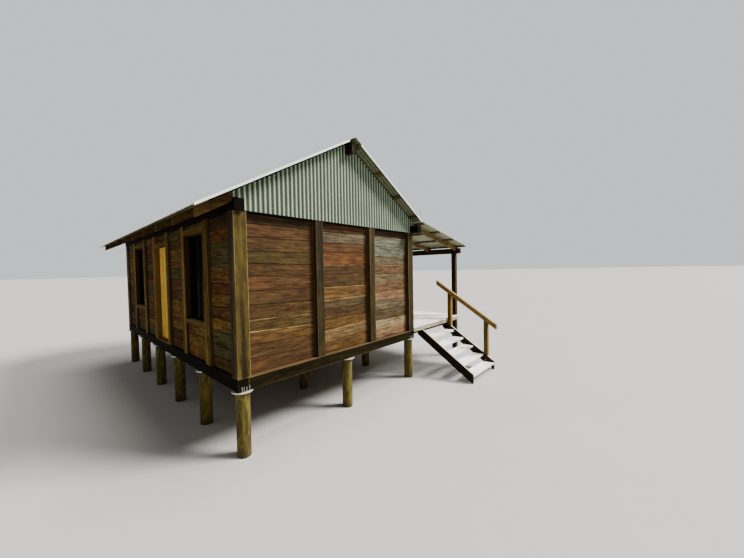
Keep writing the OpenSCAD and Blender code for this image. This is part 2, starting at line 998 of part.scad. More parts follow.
module verandah_battens() {
    color("peru")
        placed()
            for (x = verandah_batten_xs)
                slope_frame(x, verandah_rafter_top(x), -verandah_pitch)
                    translate([batten_setback - gable_overhang, 0, -batten_width / 2])
                        cube([roof_length - 2 * batten_setback, batten_depth, batten_width]);
}

module verandah_sheet() {
    color("lightgray")
        placed()
            slope_frame(verandah_sheet_x, verandah_slope_z, -verandah_pitch)
                translate([-gable_overhang, 0, 0])
                    linear_extrude(height = (verandah_sheet_end - verandah_sheet_x) / cos(verandah_pitch))
                        corrugated_section(roof_length);
}

module deck_bearers() {
    color("saddlebrown")
        placed()
            for (i = [0 : verandah_post_count - 1])
                block(house_width, post_x1, bearer_y(i), bearer_y(i) + deck_timber,
                    deck_bearer_z, deck_joist_z);
}

// Bearers run along each post's side that faces the middle of the deck
function bearer_y(i) = i < verandah_post_count / 2 ? verandah_post_y(i) + verandah_post
    : verandah_post_y(i) - deck_timber;

// Joists along the deck, and the rims across its ends
function deck_joist_x(i) = house_width + i * (post_x0 - deck_timber - house_width) / (deck_joist_count - 1);

module deck_joists() {
    color("tan")
        placed() {
            for (i = [0 : deck_joist_count - 1])
                block(deck_joist_x(i), deck_joist_x(i) + deck_timber, rim_width + panel_gap,
                    house_length - rim_width - panel_gap, deck_joist_z, deck_z);
            for (y = [0, house_length - rim_width])
                block(house_width, deck_x1, y, y + rim_width, deck_joist_z, deck_z);
        }
}

// The deck's boards as one sheet, notched round the posts
module deck_boards() {
    color("lightgray")
        placed()
            difference() {
                block(house_width + deck_gap, deck_x1, 0, house_length, deck_z, deck_top);
                for (i = [0 : verandah_post_count - 1])
                    block(post_x0 - deck_gap, deck_x1 + cut_past,
                        verandah_post_y(i) - deck_gap, verandah_post_y(i) + verandah_post + deck_gap,
                        deck_z - cut_past, deck_top + cut_past);
            }
}

// Height of the stringers' upper edge along the stair
function stair_line(y) = stringer_top_z + y * tan(stair_pitch);

module stringer_profile() {
    back = bearer_y(0);
    level = (deck_joist_z - stringer_top_z) / tan(stair_pitch);
    foot = max(stringer_foot_y + stringer_toe, (stringer_plumb - stringer_top_z) / tan(stair_pitch));
    polygon([[stringer_foot_y, 0], [stringer_foot_y, stair_line(stringer_foot_y)], [level, deck_joist_z],
        [back, deck_joist_z], [back, stair_line(back) - stringer_plumb], [foot, 0]]);
}

module stair_stringers() {
    color("saddlebrown")
        placed()
            for (x = [stair_x0, stair_x1])
                along(x, stringer_width)
                    stringer_profile();
}

// Front edge and top of a tread
function tread_y(i) = -tread_front - i * going;
function tread_z(i) = sill_z - tread_drop - i * rise;

module stair_treads() {
    color("lightgray")
        placed()
            for (i = [0 : tread_count - 1])
                block(stair_x0 + stringer_width, stair_x1, tread_y(i), tread_y(i) + tread_depth,
                    tread_z(i) - tread_thickness, tread_z(i));
}

// Handrail: a sloped rail on two posts that are notched over the outer stringer
rail_plumb = rail_depth / cos(stair_pitch);
// The rail's upper end past the gable's line, and its lower end past the stringers' feet
rail_over_deck = 340;
rail_past = 55;
// Gap between the upper post and the deck's rim, and the lower post's distance from the stringers' feet
rail_post_gap = 3;
rail_post_inset = 150;
rail_post_ys = [-rail_post_gap - rail_post, stringer_foot_y + rail_post_inset];
function rail_line(y) = stair_line(y) + rail_height;
function rail_under(y) = rail_line(y) - rail_plumb - slope_gap;

module handrail() {
    low = stringer_foot_y - rail_past;
    color("darkgoldenrod")
        placed()
            along(stair_x1 + (rail_post - rail_width) / 2, rail_width)
                polygon([[low, rail_line(low)], [rail_over_deck, rail_line(rail_over_deck)],
                    [rail_over_deck, rail_line(rail_over_deck) - rail_plumb],
                    [low, rail_line(low) - rail_plumb]]);
}

// Stands on the stringer's upper edge, with a cheek down its outer face
module rail_post_at(y) {
    along(stair_x1, rail_post)
        polygon([[y, stair_line(y) + slope_gap], [y, rail_under(y)],
            [y + rail_post, rail_under(y + rail_post)],
            [y + rail_post, stair_line(y + rail_post) + slope_gap]]);
    foot = max(0, stair_line(y) - stringer_plumb);
    along(stair_x1 + stringer_width, rail_post - stringer_width)
        polygon([[y, foot], [y, rail_under(y)], [y + rail_post, rail_under(y + rail_post)],
            [y + rail_post, foot]]);
}

module handrail_posts() {
    color("darkgoldenrod")
        placed()
            for (y = rail_post_ys)
                rail_post_at(y);
}

stumps();
ant_caps();
side_sills();
end_sills();
floor_bearer();
floor_joists();
floor_boards();
corner_posts();
gable_posts();
side_posts();
gable_slabs();
side_slabs_left();
side_slabs_right();
slab_stops();
side_plates();
end_plates();
window_boards();
window_frames();
window_glass();
door_boards();
door_hinges();
door_leaf();
door_fittings();
verandah_door();
rafters();
ridge_beam();
roof_battens();
roof_sheet_left();
roof_sheet_right();
ridge_cap();
gable_sheets();
barge_flashings();
verandah_posts();
verandah_beam();
verandah_rafters();
verandah_battens();
verandah_sheet();
deck_bearers();
deck_joists();
deck_boards();
stair_stringers();
stair_treads();
handrail();
handrail_posts();
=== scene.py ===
"""Looks of a slab cabin on stumps: weathered timber, corrugated steel, the camera and soft light.

Lengths are metres. Inside the piece functions x and y start at the walls' outer corner, as in the
part's own source: x runs across the gable to the verandah, y along the eaves, z up from the ground.
"""
import math
import random

import bmesh
import bpy
from mathutils import Matrix, Vector, noise


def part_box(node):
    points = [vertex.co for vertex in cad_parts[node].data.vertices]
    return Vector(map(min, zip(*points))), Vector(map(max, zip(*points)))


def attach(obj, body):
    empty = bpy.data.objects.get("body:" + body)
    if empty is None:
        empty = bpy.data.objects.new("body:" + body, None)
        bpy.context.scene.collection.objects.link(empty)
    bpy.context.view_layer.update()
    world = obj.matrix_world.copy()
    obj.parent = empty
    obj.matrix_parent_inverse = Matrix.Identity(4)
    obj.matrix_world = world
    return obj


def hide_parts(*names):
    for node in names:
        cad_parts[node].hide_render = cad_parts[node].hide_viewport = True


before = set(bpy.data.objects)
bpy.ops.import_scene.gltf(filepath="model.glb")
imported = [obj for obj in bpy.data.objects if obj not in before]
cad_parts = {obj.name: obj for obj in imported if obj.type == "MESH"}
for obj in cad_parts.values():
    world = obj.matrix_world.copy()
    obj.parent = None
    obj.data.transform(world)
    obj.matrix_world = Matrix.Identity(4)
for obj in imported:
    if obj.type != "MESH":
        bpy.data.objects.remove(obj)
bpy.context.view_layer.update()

# The house, read from the frame
sill_low, sill_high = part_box("side_sills")
plate_low, plate_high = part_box("side_plates")
WIDTH = sill_high.x - sill_low.x
LENGTH = sill_high.y - sill_low.y
SILL_Z, SILL_TOP = sill_low.z, sill_high.z
PLATE_Z, PLATE_TOP = plate_low.z, plate_high.z
ROOF_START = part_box("roof_sheet_left")[0].y
ROOF_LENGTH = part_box("roof_sheet_left")[1].y - ROOF_START

# Walls: posts, slabs and openings
CORNER_POST = 0.185
GABLE_POST = 0.15
WINDOW_POST = 0.19
DOOR_POST = 0.17
GABLE_RECESS = 0.085
SIDE_RECESS = 0.038
SLAB_THICKNESS = 0.05
PANEL_GAP = 0.002
WINDOW_WIDTH = 0.88
WINDOWS = (LENGTH / 2 - 1.955, LENGTH / 2 + 1.955)
DOOR_WIDTH = 0.785
WINDOW_BOARDS_Z = [corner.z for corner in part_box("window_boards")]
DOOR_HEAD_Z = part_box("door_boards")[1].z
# Middle of the far door post's face in the doorway, along the frame's y; painted sunlight on the side posts'
# sunny faces stays near it, with painted shade elsewhere
DOOR_REVEAL = sill_low.y + (LENGTH + DOOR_WIDTH) / 2

# Deck, stair, verandah, and parts of the doors and windows
POST_SIDE = 0.12
POST_COUNT = 4
POST_CLEARANCE = 0.003
DECK_PAST_POSTS = 0.01
DECK_BOARD = 0.142
BOARD_GAP = 0.004
TREAD_COUNT = 5
TREAD_DEPTH = 0.27
TREAD_THICKNESS = 0.045
KNOB_LENGTH = 0.055
KNOB_INSET = 0.078
KNOB_HEIGHT = 0.95
STILE_WIDTH = 0.034
STILE_DEPTH = 0.026
STILE_INSET = 0.006
FLOOR_BOARD = 0.13
RAIL_POST = 0.1
STAIR_SLOPE = 0.668
VERANDAH_WIDTH = 2.36

# Corrugated sheets
CORRUGATION = 0.076
CORRUGATION_DEPTH = 0.017
STEEL = 0.0012
SHEET_DEPTH = CORRUGATION_DEPTH + STEEL
WAVE_PHASE = math.radians(30)
WAVE_STEPS = 12
COVER = 0.762
# Battens on each slope: how far the lowest lies in from the wall, the top one from the ridge, the one
# on the rafters' tails out from the wall, and the verandah's first one out from the wall
BATTEN_COUNT = 4
BATTEN_WALL = 0.155
BATTEN_TOP = 0.14
TAIL_BATTEN = 0.415
VERANDAH_BATTEN = 0.13
CAP_SCREW = 0.1
ROOF_PITCH = math.radians(30)
VERANDAH_PITCH = math.radians(11)

# Photograph's camera
PHOTO_WIDTH, PHOTO_HEIGHT = 744, 558
CAMERA_PLACE = (-1.770, -3.931, 2.539)
CAMERA_YAW, CAMERA_PITCH, CAMERA_ROLL = (math.radians(a) for a in (47.001, -1.642, -1.124))
FOCAL_PIXELS = 301.607
PRINCIPAL_X, PRINCIPAL_Y = 361.370, 278.564
SENSOR = 36.0


def in_frame(x, y, z):
    """A point of the house as a point of the frame."""
    return Vector((sill_low.x + x, sill_low.y + y, z))


def linear(*screen):
    """A colour given as 0 to 255 screen values, as linear light."""
    shares = [value / 255 for value in screen]
    return tuple(s / 12.92 if s <= 0.04045 else ((s + 0.055) / 1.055) ** 2.4 for s in shares)


def blend(first, second, share):
    return tuple(a + (b - a) * share for a, b in zip(first, second))


def wobble(x, y, z=0.0):
    """Smooth noise from -1 to 1."""
    return noise.noise(Vector((x, y, z)))


def circle(centre, along, radius, sides, start=0.0):
    """Points of a ring about an axis."""
    across = along.orthogonal().normalized()
    other = along.cross(across)
    return [centre + (across * math.cos(a) + other * math.sin(a)) * radius
            for a in (start + math.tau * k / sides for k in range(sides))]


def new_object(name, data):
    made = bpy.data.objects.new(name, data)
    bpy.context.scene.collection.objects.link(made)
    return made


# Meshes


class Piece:
    """Points and faces of one piece, with a tone and a grain seed on every point."""

    def __init__(self):
        self.points, self.faces, self.tones, self.seeds = [], [], [], []

    def loft(self, rings, tones, seed=0.0):
        """Joins rings of equally many points, and closes both ends."""
        first, count = len(self.points), len(rings[0])
        last = first + (len(rings) - 1) * count
        for start in range(first, last, count):
            for i in range(count):
                after = (i + 1) % count
                self.faces.append([start + i, start + after, start + count + after, start + count + i])
        self.faces += [list(range(first, first + count)), list(range(last, last + count))]
        points = [point for ring in rings for point in ring]
        self.points += points
        self.tones += tones if isinstance(tones, list) else [tones] * len(points)
        self.seeds += [seed] * len(points)

    def make(self, name, material, nodes=(), body="root", crease=40):
        """Turns what was gathered into an object that rides on a body."""
        mesh = bpy.data.meshes.new(name)
        mesh.from_pydata(self.points, [], self.faces)
        tone = mesh.attributes.new("tone", "FLOAT_COLOR", "POINT")
        tone.data.foreach_set("color", [c for t in self.tones for c in (*t, 1.0)])
        seed = mesh.attributes.new("seed", "FLOAT", "POINT")
        seed.data.foreach_set("value", self.seeds)
        built = bmesh.new()
        built.from_mesh(mesh)
        bmesh.ops.recalc_face_normals(built, faces=built.faces)
        built.to_mesh(mesh)
        built.free()
        mesh.shade_smooth()
        mesh.set_sharp_from_angle(angle=math.radians(crease))
        mesh.materials.append(material)
        shown = new_object(name, mesh)
        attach(shown, body)
        if nodes:
            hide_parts(*nodes)


# Materials


# How far one step of a board's seed moves its figure, along x, y and z
SEED_JUMP = (17.3, 9.1, 13.7)


class Tree:
    """A material's node tree, with short calls for the nodes that the finishes share."""

    def __init__(self, name):
        self.material = bpy.data.materials.new(name)
        self.material.use_nodes = True
        self.tree = self.material.node_tree
        self.tree.nodes.clear()

    def node(self, kind, inputs=None, **settings):
        """A new node: inputs are linked where they are sockets, and set where they are values."""
        made = self.tree.nodes.new("ShaderNode" + kind)
        for key, value in settings.items():
            setattr(made, key, value)
        for key, value in (inputs or {}).items():
            socket = made.inputs[key]
            if isinstance(value, bpy.types.NodeSocket):
                self.tree.links.new(value, socket)
            else:
                socket.default_value = (*value, 1.0) if socket.type == "RGBA" else value
        return made

    def maths(self, operation, first, second=0.0):
        return self.node("Math", {0: first, 1: second}, operation=operation).outputs[0]

    def plus(self, first, second):
        return self.maths("ADD", first, second)

    def minus(self, first, second):
        return self.maths("SUBTRACT", first, second)

    def times(self, first, second):
        return self.maths("MULTIPLY", first, second)

    def apart(self, first, second):
        """How far two values lie from each other."""
        return self.maths("ABSOLUTE", self.minus(first, second))

    def scale(self, vector, factor):
        return self.node("VectorMath", {0: vector, "Scale": factor}, operation="SCALE").outputs[0]

    def vector(self, operation, first, second):
        return self.node("VectorMath", {0: first, 1: second}, operation=operation)

    def noise(self, place, scale, detail=4.0, roughness=0.6, distortion=0.0):
        return self.node("TexNoise", {"Vector": place, "Scale": scale, "Detail": detail,
                         "Roughness": roughness, "Distortion": distortion}).outputs["Fac"]

    def between(self, value, low, high, start=0.0, end=1.0):
        """Value taken from low..high to start..end, smoothly and clamped."""
        return self.node("MapRange", {"Value": value, "From Min": low, "From Max": high,
                         "To Min": start, "To Max": end}, interpolation_type="SMOOTHSTEP").outputs[0]

    def swing(self, noise, start, end):
        """The middle of a noise's range, taken to start..end."""
        return self.between(noise, 0.3, 0.7, start, end)

    def mix(self, share, first, second, blend="MIX"):
        return self.node("Mix", {0: share, 6: first, 7: second}, data_type="RGBA",
                         blend_type=blend).outputs[2]

    def lay_stain_or_light(self, colour, mask, low, high, amount, tone, blend="MIX"):
        """Lays a tone over a colour, by up to an amount as a mask goes from low to high: stains and dirt,
        and painted light where the mask is a facing.
        """
        return self.mix(self.between(mask, low, high, 0.0, amount), colour, tone, blend)

    def attribute(self, name, output):
        return self.node("Attribute", attribute_name=name).outputs[output]

    def own(self, output):
        """A coordinate of the object's own frame."""
        return self.node("TexCoord").outputs[output]

    def axis(self, index):
        """The object's own x, y or z."""
        return self.node("SeparateXYZ", {0: self.own("Object")}).outputs[index]

    def facing(self, direction):
        """How far the surface faces a direction of the object's own frame, 0 to 1."""
        dot = self.vector("DOT_PRODUCT", self.own("Normal"), direction).outputs["Value"]
        return self.maths("MAXIMUM", dot, 0.0)

    def corner(self):
        """Half on an eased edge between two faces of a squared timber, and nothing on its faces."""
        axes = self.node("SeparateXYZ", {0: self.own("Normal")}).outputs
        total = 0.0
        for first, second in ((0, 1), (1, 2), (0, 2)):
            total = self.plus(self.maths("ABSOLUTE", self.times(axes[first], axes[second])), total)
        return total

    def bump(self, height, distance, strength=1.0):
        return self.node("Bump", {"Height": height, "Distance": distance,
                         "Strength": strength}).outputs[0]

    def finish(self, colour, roughness, normal, metallic=0.0, specular=0.5, **constants):
        shader = self.node("BsdfPrincipled", {
            "Base Color": colour, "Roughness": roughness, "Normal": normal, "Metallic": metallic,
            "Specular IOR Level": specular, **constants})
        self.node("OutputMaterial", {"Surface": shader.outputs[0]})
        return self.material


class Grained(Tree):
    """A tree for a surface whose grain runs along an axis, or along X turned by an angle about Y."""

    def __init__(self, name, grain):
        super().__init__(name)
        self.grain = grain
        jump = self.scale(SEED_JUMP, self.attribute("seed", "Fac"))
        self.spot = self.vector("ADD", self.own("Object"), jump).outputs[0]

    def squeezed(self, share):
        """Coordinates squeezed along the grain, so that noise draws out into streaks."""
        place, grain = self.spot, self.grain
        if isinstance(grain, float):
            turned = self.node("Mapping", {"Vector": place, "Rotation": (0, grain, 0)})
            place, grain = turned.outputs[0], "X"
        by_axis = [share if axis == grain else 1.0 for axis in "XYZ"]
        return self.node("Mapping", {"Vector": place, "Scale": by_axis}).outputs[0]

    def drawn(self, recipe):
        """A noise drawn out along the grain: share of its length kept, then the noise's settings."""
        return self.noise(self.squeezed(recipe[0]), *recipe[1:])


SILVER = linear(126, 108, 72)
# Cream: worn edges and lighter slab edges, and the tone of painted sunlight and highlights
CREAM = linear(168, 146, 98)
DARK_STAIN = (24, 15, 8)
# Near black, used for painted shade on the sunny side of the side posts away from the doorway
PAINTED_SHADE_BLACK = linear(*DARK_STAIN)
KNOT_TONE = linear(42, 26, 16)
FLECK_TONE = linear(34, 22, 12)
CRACK_TONE = linear(26, 18, 12)
# What the wood's colour is multiplied by in its dark streaks, and in warm patches
DARK_WARMTH = (1.0, 0.82, 0.55)
PATCH_WARMTH = (1.0, 0.86, 0.7)
UP, SUNNY_SIDE = (0, 0, 1), (0, -1, 0)

# Noises along the grain: share of their length kept, scale, detail, roughness and distortion
FIBRE = (0.045, 110.0, 6.0, 0.65, 0.2)
FIGURE = (0.06, 42.0, 5.0, 0.62, 1.0)
STREAKS = (0.07, 15.0, 5.0, 0.65, 0.4)
MOTTLE = (0.3, 17.0, 4.0, 0.65)
BANDS = (0.03, 8.0, 1.0, 0.4)
WARM_PATCHES = (0.2, 5.0, 2.0)
WORN_PATCHES = (0.06, 34.0, 6.0, 0.75)
FLECKS = (0.35, 58.0, 3.0, 0.6)
RIFTS = (0.018, 26.0, 2.0, 0.5, 0.2)
RIFT_PLACES = (0.3, 6.0, 1.0)
BARK_FIBRE = (0.1, 60.0, 6.0, 0.7, 0.5)
BARK_PLATES = (0.25, 16.0, 4.0, 0.6, 0.8)
BARK_RIFTS = (0.05, 20.0, 2.0)
WATER_STREAKS = (0.06, 34.0, 5.0, 0.65)


def wood_shade(t, contrast, bands, right_side):
    """Lightness of sawn wood, around one, and the fibre, figure and streaks that it is made from."""
    fibre, figure, streaks = t.drawn(FIBRE), t.drawn(FIGURE), t.drawn(STREAKS)
    spread = contrast * 0.35
    shade = t.plus(t.swing(figure, 1 - contrast * 0.5, 1 + contrast * 0.4),
                   t.swing(fibre, -contrast * 0.4, contrast * 0.4))
    shade = t.times(shade, t.between(streaks, 0.25, 0.75, 1 - spread, 1 + spread))
    shade = t.times(shade, t.swing(t.noise(t.spot, 2.1, 3.0), 0.86, 1.14))
    shade = t.times(shade, t.swing(t.drawn(MOTTLE), 1 - spread, 1 + spread))
    if bands:
        shade = t.times(shade, t.between(t.drawn(BANDS), 0.38, 0.62, 1 - bands, 1 + bands))
    if right_side != 1:
        middle = (sill_low.x + sill_high.x) / 2
        shade = t.times(shade, t.between(t.axis(0), middle, middle + 0.5, 1.0, right_side))
    return shade, fibre, figure, streaks


def knotty(t, colour, knots):
    """Adds knots with dark cores, and small dark flecks."""
    cells = t.node("TexVoronoi", {"Vector": t.squeezed(0.4), "Scale": 4.5, "Randomness": 1.0})
    pick = t.node("SeparateColor", {0: cells.outputs["Color"]}).outputs[0]
    chosen = t.between(pick, 1 - 0.35 * knots, 1.02 - 0.35 * knots)
    halo = t.between(cells.outputs["Distance"], 0.2, 0.05, 0.0, 0.45)
    core = t.between(cells.outputs["Distance"], 0.075, 0.045, 0.0, 0.5)
    colour = t.mix(t.times(chosen, t.plus(halo, core)), colour, KNOT_TONE)
    return t.lay_stain_or_light(colour, t.drawn(FLECKS), 0.6, 0.72, 0.5 * knots, FLECK_TONE)


def paint_sun_and_shade(t, colour, streaks, sun, sun_tone, sun_place):
    """Paints sunlight on the sunny side as a lighter tone. With a sun_place, that side gets painted shade,
    near black, away from it along the house.
    """
    side = t.facing(SUNNY_SIDE)
    painted_light = t.times(t.between(side, 0.5, 0.95, 0.0, sun), t.between(streaks, 0.25, 0.65, 0.55, 1.0))
    colour = t.mix(painted_light, colour, sun_tone)
    if sun_place is not None:
        # Painted shade: away from the sun_place the sunny side goes near black
        away = t.between(t.apart(t.axis(1), sun_place), 0.1, 0.15)
        dark = t.times(t.between(side, 0.5, 0.95), away)
        colour = t.mix(t.times(dark, 0.8), colour, PAINTED_SHADE_BLACK)
    return colour


def timber(name, grain, tone=None, contrast=0.5, silver=0.25, knots=0.6, arris=0.0, sun=0.0,
           sun_tone=CREAM, sun_place=None, top_light_tone=None, bands=0.0, right_side=1.0, shine=0.12):
    """Sawn timber, in a tone of screen values or in the tones of the piece's own points."""
    t = Grained(name, grain)
    shade, fibre, figure, streaks = wood_shade(t, contrast, bands, right_side)
    colour = t.scale(t.attribute("tone", "Vector") if tone is None else linear(*tone), shade)
    colour = t.lay_stain_or_light(colour, shade, 0.95, 0.4, 1.0, DARK_WARMTH, "MULTIPLY")
    colour = t.lay_stain_or_light(colour, t.drawn(WARM_PATCHES), 0.4, 0.7, 0.45, PATCH_WARMTH, "MULTIPLY")
    colour = t.lay_stain_or_light(colour, t.drawn(WORN_PATCHES), 0.5, 0.72, silver, SILVER)
    colour = knotty(t, colour, knots)
    crack = t.times(t.between(t.apart(t.drawn(RIFTS), 0.5), 0.012, 0.003),
                    t.between(t.drawn(RIFT_PLACES), 0.5, 0.6))
    colour = t.mix(t.times(crack, 0.8), colour, CRACK_TONE)
    # Lighter eased edges: worn wood, with a painted highlight where the edges catch the light
    if arris:
        worn_and_highlit = t.times(t.between(t.corner(), 0.25, 0.45, 0.0, arris),
                       t.between(streaks, 0.35, 0.6, 0.3, 1.0))
        colour = t.mix(worn_and_highlit, colour, CREAM)
    if sun:
        colour = paint_sun_and_shade(t, colour, streaks, sun, sun_tone, sun_place)
    # Painted sunlight: faces turned up take a lighter tone
    if top_light_tone:
        colour = t.lay_stain_or_light(colour, t.facing(UP), 0.5, 0.9, 0.85, top_light_tone)
    relief = t.minus(t.plus(t.times(fibre, 0.55), t.times(figure, 0.6)), t.times(crack, 1.6))
    return t.finish(colour, t.swing(fibre, 0.68, 0.88), t.bump(relief, 0.0022, 0.8), specular=shine)


def bark(name):
    """Round timber with upright splits and a darker foot."""
    t = Grained(name, "Z")
    fibre, plates = t.drawn(BARK_FIBRE), t.drawn(BARK_PLATES)
    colour = t.mix(t.swing(plates, 0.0, 1.0), linear(56, 48, 13), linear(104, 92, 34))
    colour = t.scale(colour, t.between(fibre, 0.25, 0.75, 0.55, 1.3))
    crack = t.between(t.apart(t.drawn(BARK_RIFTS), 0.5), 0.02, 0.004)
    colour = t.mix(t.times(crack, 0.8), colour, linear(34, 24, 16))
    # Darker towards the foot
    foot_darkening = t.between(t.plus(t.axis(2), t.times(plates, 0.2)), 0.05, 0.32, 0.6, 0.0)
    colour = t.mix(foot_darkening, colour, linear(56, 46, 26))
    relief = t.minus(t.plus(fibre, plates), t.times(crack, 2.0))
    return t.finish(colour, 0.88, t.bump(relief, 0.004, 0.8), specular=0.25)


def steel(name, run, tone=None, dirt=0.4, rust=0.0, gloss=0.42, metallic=0.0):
    """Painted or galvanised steel, with water streaks along a direction and dull patches."""
    t = Grained(name, run)
    base = t.attribute("tone", "Vector") if tone is None else linear(*tone)
    streaks = t.drawn(WATER_STREAKS)
    clouds = t.noise(t.spot, 3.2, 4.0, 0.6)
    speckle = t.noise(t.spot, 180.0, 2.0, 0.5)
    colour = t.scale(base, t.swing(clouds, 0.9, 1.08))
    colour = t.lay_stain_or_light(colour, streaks, 0.48, 0.8, dirt, linear(110, 112, 96))
    spots = t.times(t.between(t.noise(t.spot, 26.0, 4.0, 0.7), 0.6, 0.72), rust)
    colour = t.mix(spots, colour, linear(124, 74, 40))
    relief = t.plus(t.times(clouds, 0.8), t.times(speckle, 0.12))
    rough = t.plus(t.between(streaks, 0.3, 0.8, gloss - 0.08, gloss + 0.16), t.times(speckle, 0.06))
    return t.finish(colour, rough, t.bump(relief, 0.0015, 0.5), metallic)


def window_glass():
    """Near-black panes, their dark colour painted shade for the unlit room behind them, with patches of
    dust.
    """
    t = Tree("glass_pane")
    place = t.own("Object")
    dust = t.noise(place, 7.0, 6.0, 0.7)
    colour = t.lay_stain_or_light(linear(5, 6, 6), dust, 0.45, 0.8, 0.3, linear(16, 17, 15))
    rough = t.between(dust, 0.4, 0.75, 0.08, 0.3)
    ripple = t.bump(t.noise(place, 3.0, 1.0), 0.0006, 0.4)
    return t.finish(colour, rough, ripple, specular=0.1, IOR=1.05)


# Nodes that keep their own mesh


PLATE_TONE, DOORWAY_TONE, BATTEN_TONE = (14, 9, 5), (84, 66, 26), (68, 60, 36)
# Tone of painted sunlight on the sunny side of the verandah's posts and beam
SUNLIT_RED_BROWN = linear(76, 54, 32)
FITTINGS = dict(tone=(150, 146, 136), dirt=0.2, gloss=0.35, metallic=0.9)
WELD_DISTANCE = 1e-5
EASED_ANGLE = math.radians(40)

# Timbers: node, grain, tone, and what differs from plain timber
# The sun settings paint sunlight as a lighter tone on faces turned to -Y; with a sun_place, the side posts'
# -Y faces are painted shade, near black, away from the doorway. A top tone paints sunlight on faces turned
# up.
TIMBERS = [
    ("side_sills", "Y", (13, 12, 4), dict(eased=0.005, contrast=0.8, silver=0.0, arris=0.1, shine=0.03)),
    ("end_sills", "X", (22, 18, 3),
     dict(eased=0.008, contrast=0.9, silver=0.02, arris=0.6, top_light_tone=linear(80, 60, 38), shine=0.05)),
    ("floor_bearer", "Y", (34, 27, 13), {}),
    ("floor_joists", "X", (70, 54, 28), {}),
    ("corner_posts", "Z", (54, 45, 13),
     dict(eased=0.008, contrast=0.8, silver=0.06, arris=1.0, bands=0.6, right_side=0.4)),
    ("gable_posts", "Z", (36, 29, 9),
     dict(eased=0.005, contrast=0.8, silver=0.0, arris=0.5, bands=0.4, right_side=1.7)),
    ("side_posts", "Z", (95, 79, 31),
     dict(eased=0.005, contrast=0.7, silver=0.02, arris=0.5, bands=0.4, sun=0.85,
          sun_tone=linear(116, 82, 38), sun_place=DOOR_REVEAL, shine=0.03)),
    ("slab_stops", "Z", (58, 42, 20), dict(eased=0.0015)),
    ("side_plates", "Y", PLATE_TONE, dict(silver=0.0, shine=0.03)),
    ("end_plates", "X", PLATE_TONE, dict(silver=0.0, shine=0.03)),
    ("window_boards", "Y", DOORWAY_TONE,
     dict(eased=0.004, silver=0.04, arris=0.5, top_light_tone=CREAM, shine=0.03)),
    ("window_frames", "Z", (17, 14, 10), dict(eased=0.002, contrast=0.3, silver=0.0, knots=0.0, shine=0.03)),
    ("door_boards", "Y", DOORWAY_TONE, dict(eased=0.004, silver=0.04, arris=0.4, shine=0.03)),
    ("rafters", "X", (66, 48, 14), dict(contrast=0.6)),
    ("ridge_beam", "Y", DARK_STAIN, dict(silver=0.04, arris=0.3)),
    ("roof_battens", "Y", BATTEN_TONE, {}),
    ("verandah_posts", "Z", DARK_STAIN, dict(silver=0.06, sun=0.5, sun_tone=SUNLIT_RED_BROWN)),
    ("verandah_beam", "Y", (34, 21, 9), dict(silver=0.06, sun=0.2, sun_tone=SUNLIT_RED_BROWN)),
    ("verandah_rafters", VERANDAH_PITCH, (96, 76, 34), dict(contrast=0.6)),
    ("verandah_battens", "Y", BATTEN_TONE, {}),
    ("deck_bearers", "X", DARK_STAIN, dict(silver=0.06)),
    ("deck_joists", "Y", (150, 142, 124), dict(contrast=0.4, silver=0.3, knots=0.2)),
    ("stair_stringers", "Y", DARK_STAIN, dict(silver=0.06, top_light_tone=linear(206, 194, 166))),
    ("handrail", "Y", (112, 88, 44), dict(eased=0.014, contrast=0.45, top_light_tone=linear(152, 130, 80))),
    ("handrail_posts", "Z", (74, 59, 17), dict(eased=0.005, sun=0.8, sun_tone=linear(140, 110, 46)))]


def keep(node, material, eased=0.0):
    """Gives a node its finish, and eases its sharp edges with a small bevel."""
    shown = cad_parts[node]
    shown.data.materials.clear()
    shown.data.materials.append(material)
    shown.modifiers.new("weld", "WELD").merge_threshold = WELD_DISTANCE
    if eased:
        bevel = shown.modifiers.new("ease", "BEVEL")
        bevel.width = eased
        bevel.segments = 2
        bevel.limit_method = "ANGLE"
        bevel.angle_limit = EASED_ANGLE


def keep_timber(node, grain, tone, eased=0.003, **settings):
    keep(node, timber(node + "_wood", grain, tone, **settings), eased)


def finish_nodes():
    for node, grain, tone, settings in TIMBERS:
        keep_timber(node, grain, tone, **settings)
    keep("ant_caps", steel("cap_zinc", "X", (205, 203, 196), rust=0.35, metallic=0.6))
    keep("ridge_cap", steel("cap_steel", "X", (190, 196, 190)))
    keep("barge_flashings", steel("verge_steel", "X", (222, 228, 224), dirt=0.15))
    keep("window_glass", window_glass())
    fittings = steel("fittings_steel", "Z", **FITTINGS)
    keep("door_hinges", fittings)
    keep("door_fittings", fittings)


DECK_TONE = linear(238, 236, 232)
FLOOR_TONE = linear(150, 112, 70)
DOOR_TONE = linear(200, 162, 60)
PLAIN = (1.0, 1.0, 1.0)

# Slab walls


TONES = {name: linear(*screen) for name, screen in {
    "umber": (46, 32, 15), "brown": (60, 42, 19), "russet": (68, 45, 22), "amber": (76, 54, 23),
    "olive": (61, 48, 20), "silver": (92, 95, 80), "ash": (64, 53, 34), "sand": (94, 75, 46),
    "rose": (86, 63, 41), "ochre": (84, 60, 28), "mist": (84, 73, 54), "blush": (104, 80, 58),
    "straw": (124, 108, 80), "drab": (80, 72, 54), "copper": (80, 50, 22), "rust": (74, 44, 20),
    "gold": (88, 66, 30), "moss": (60, 56, 32)}.items()}

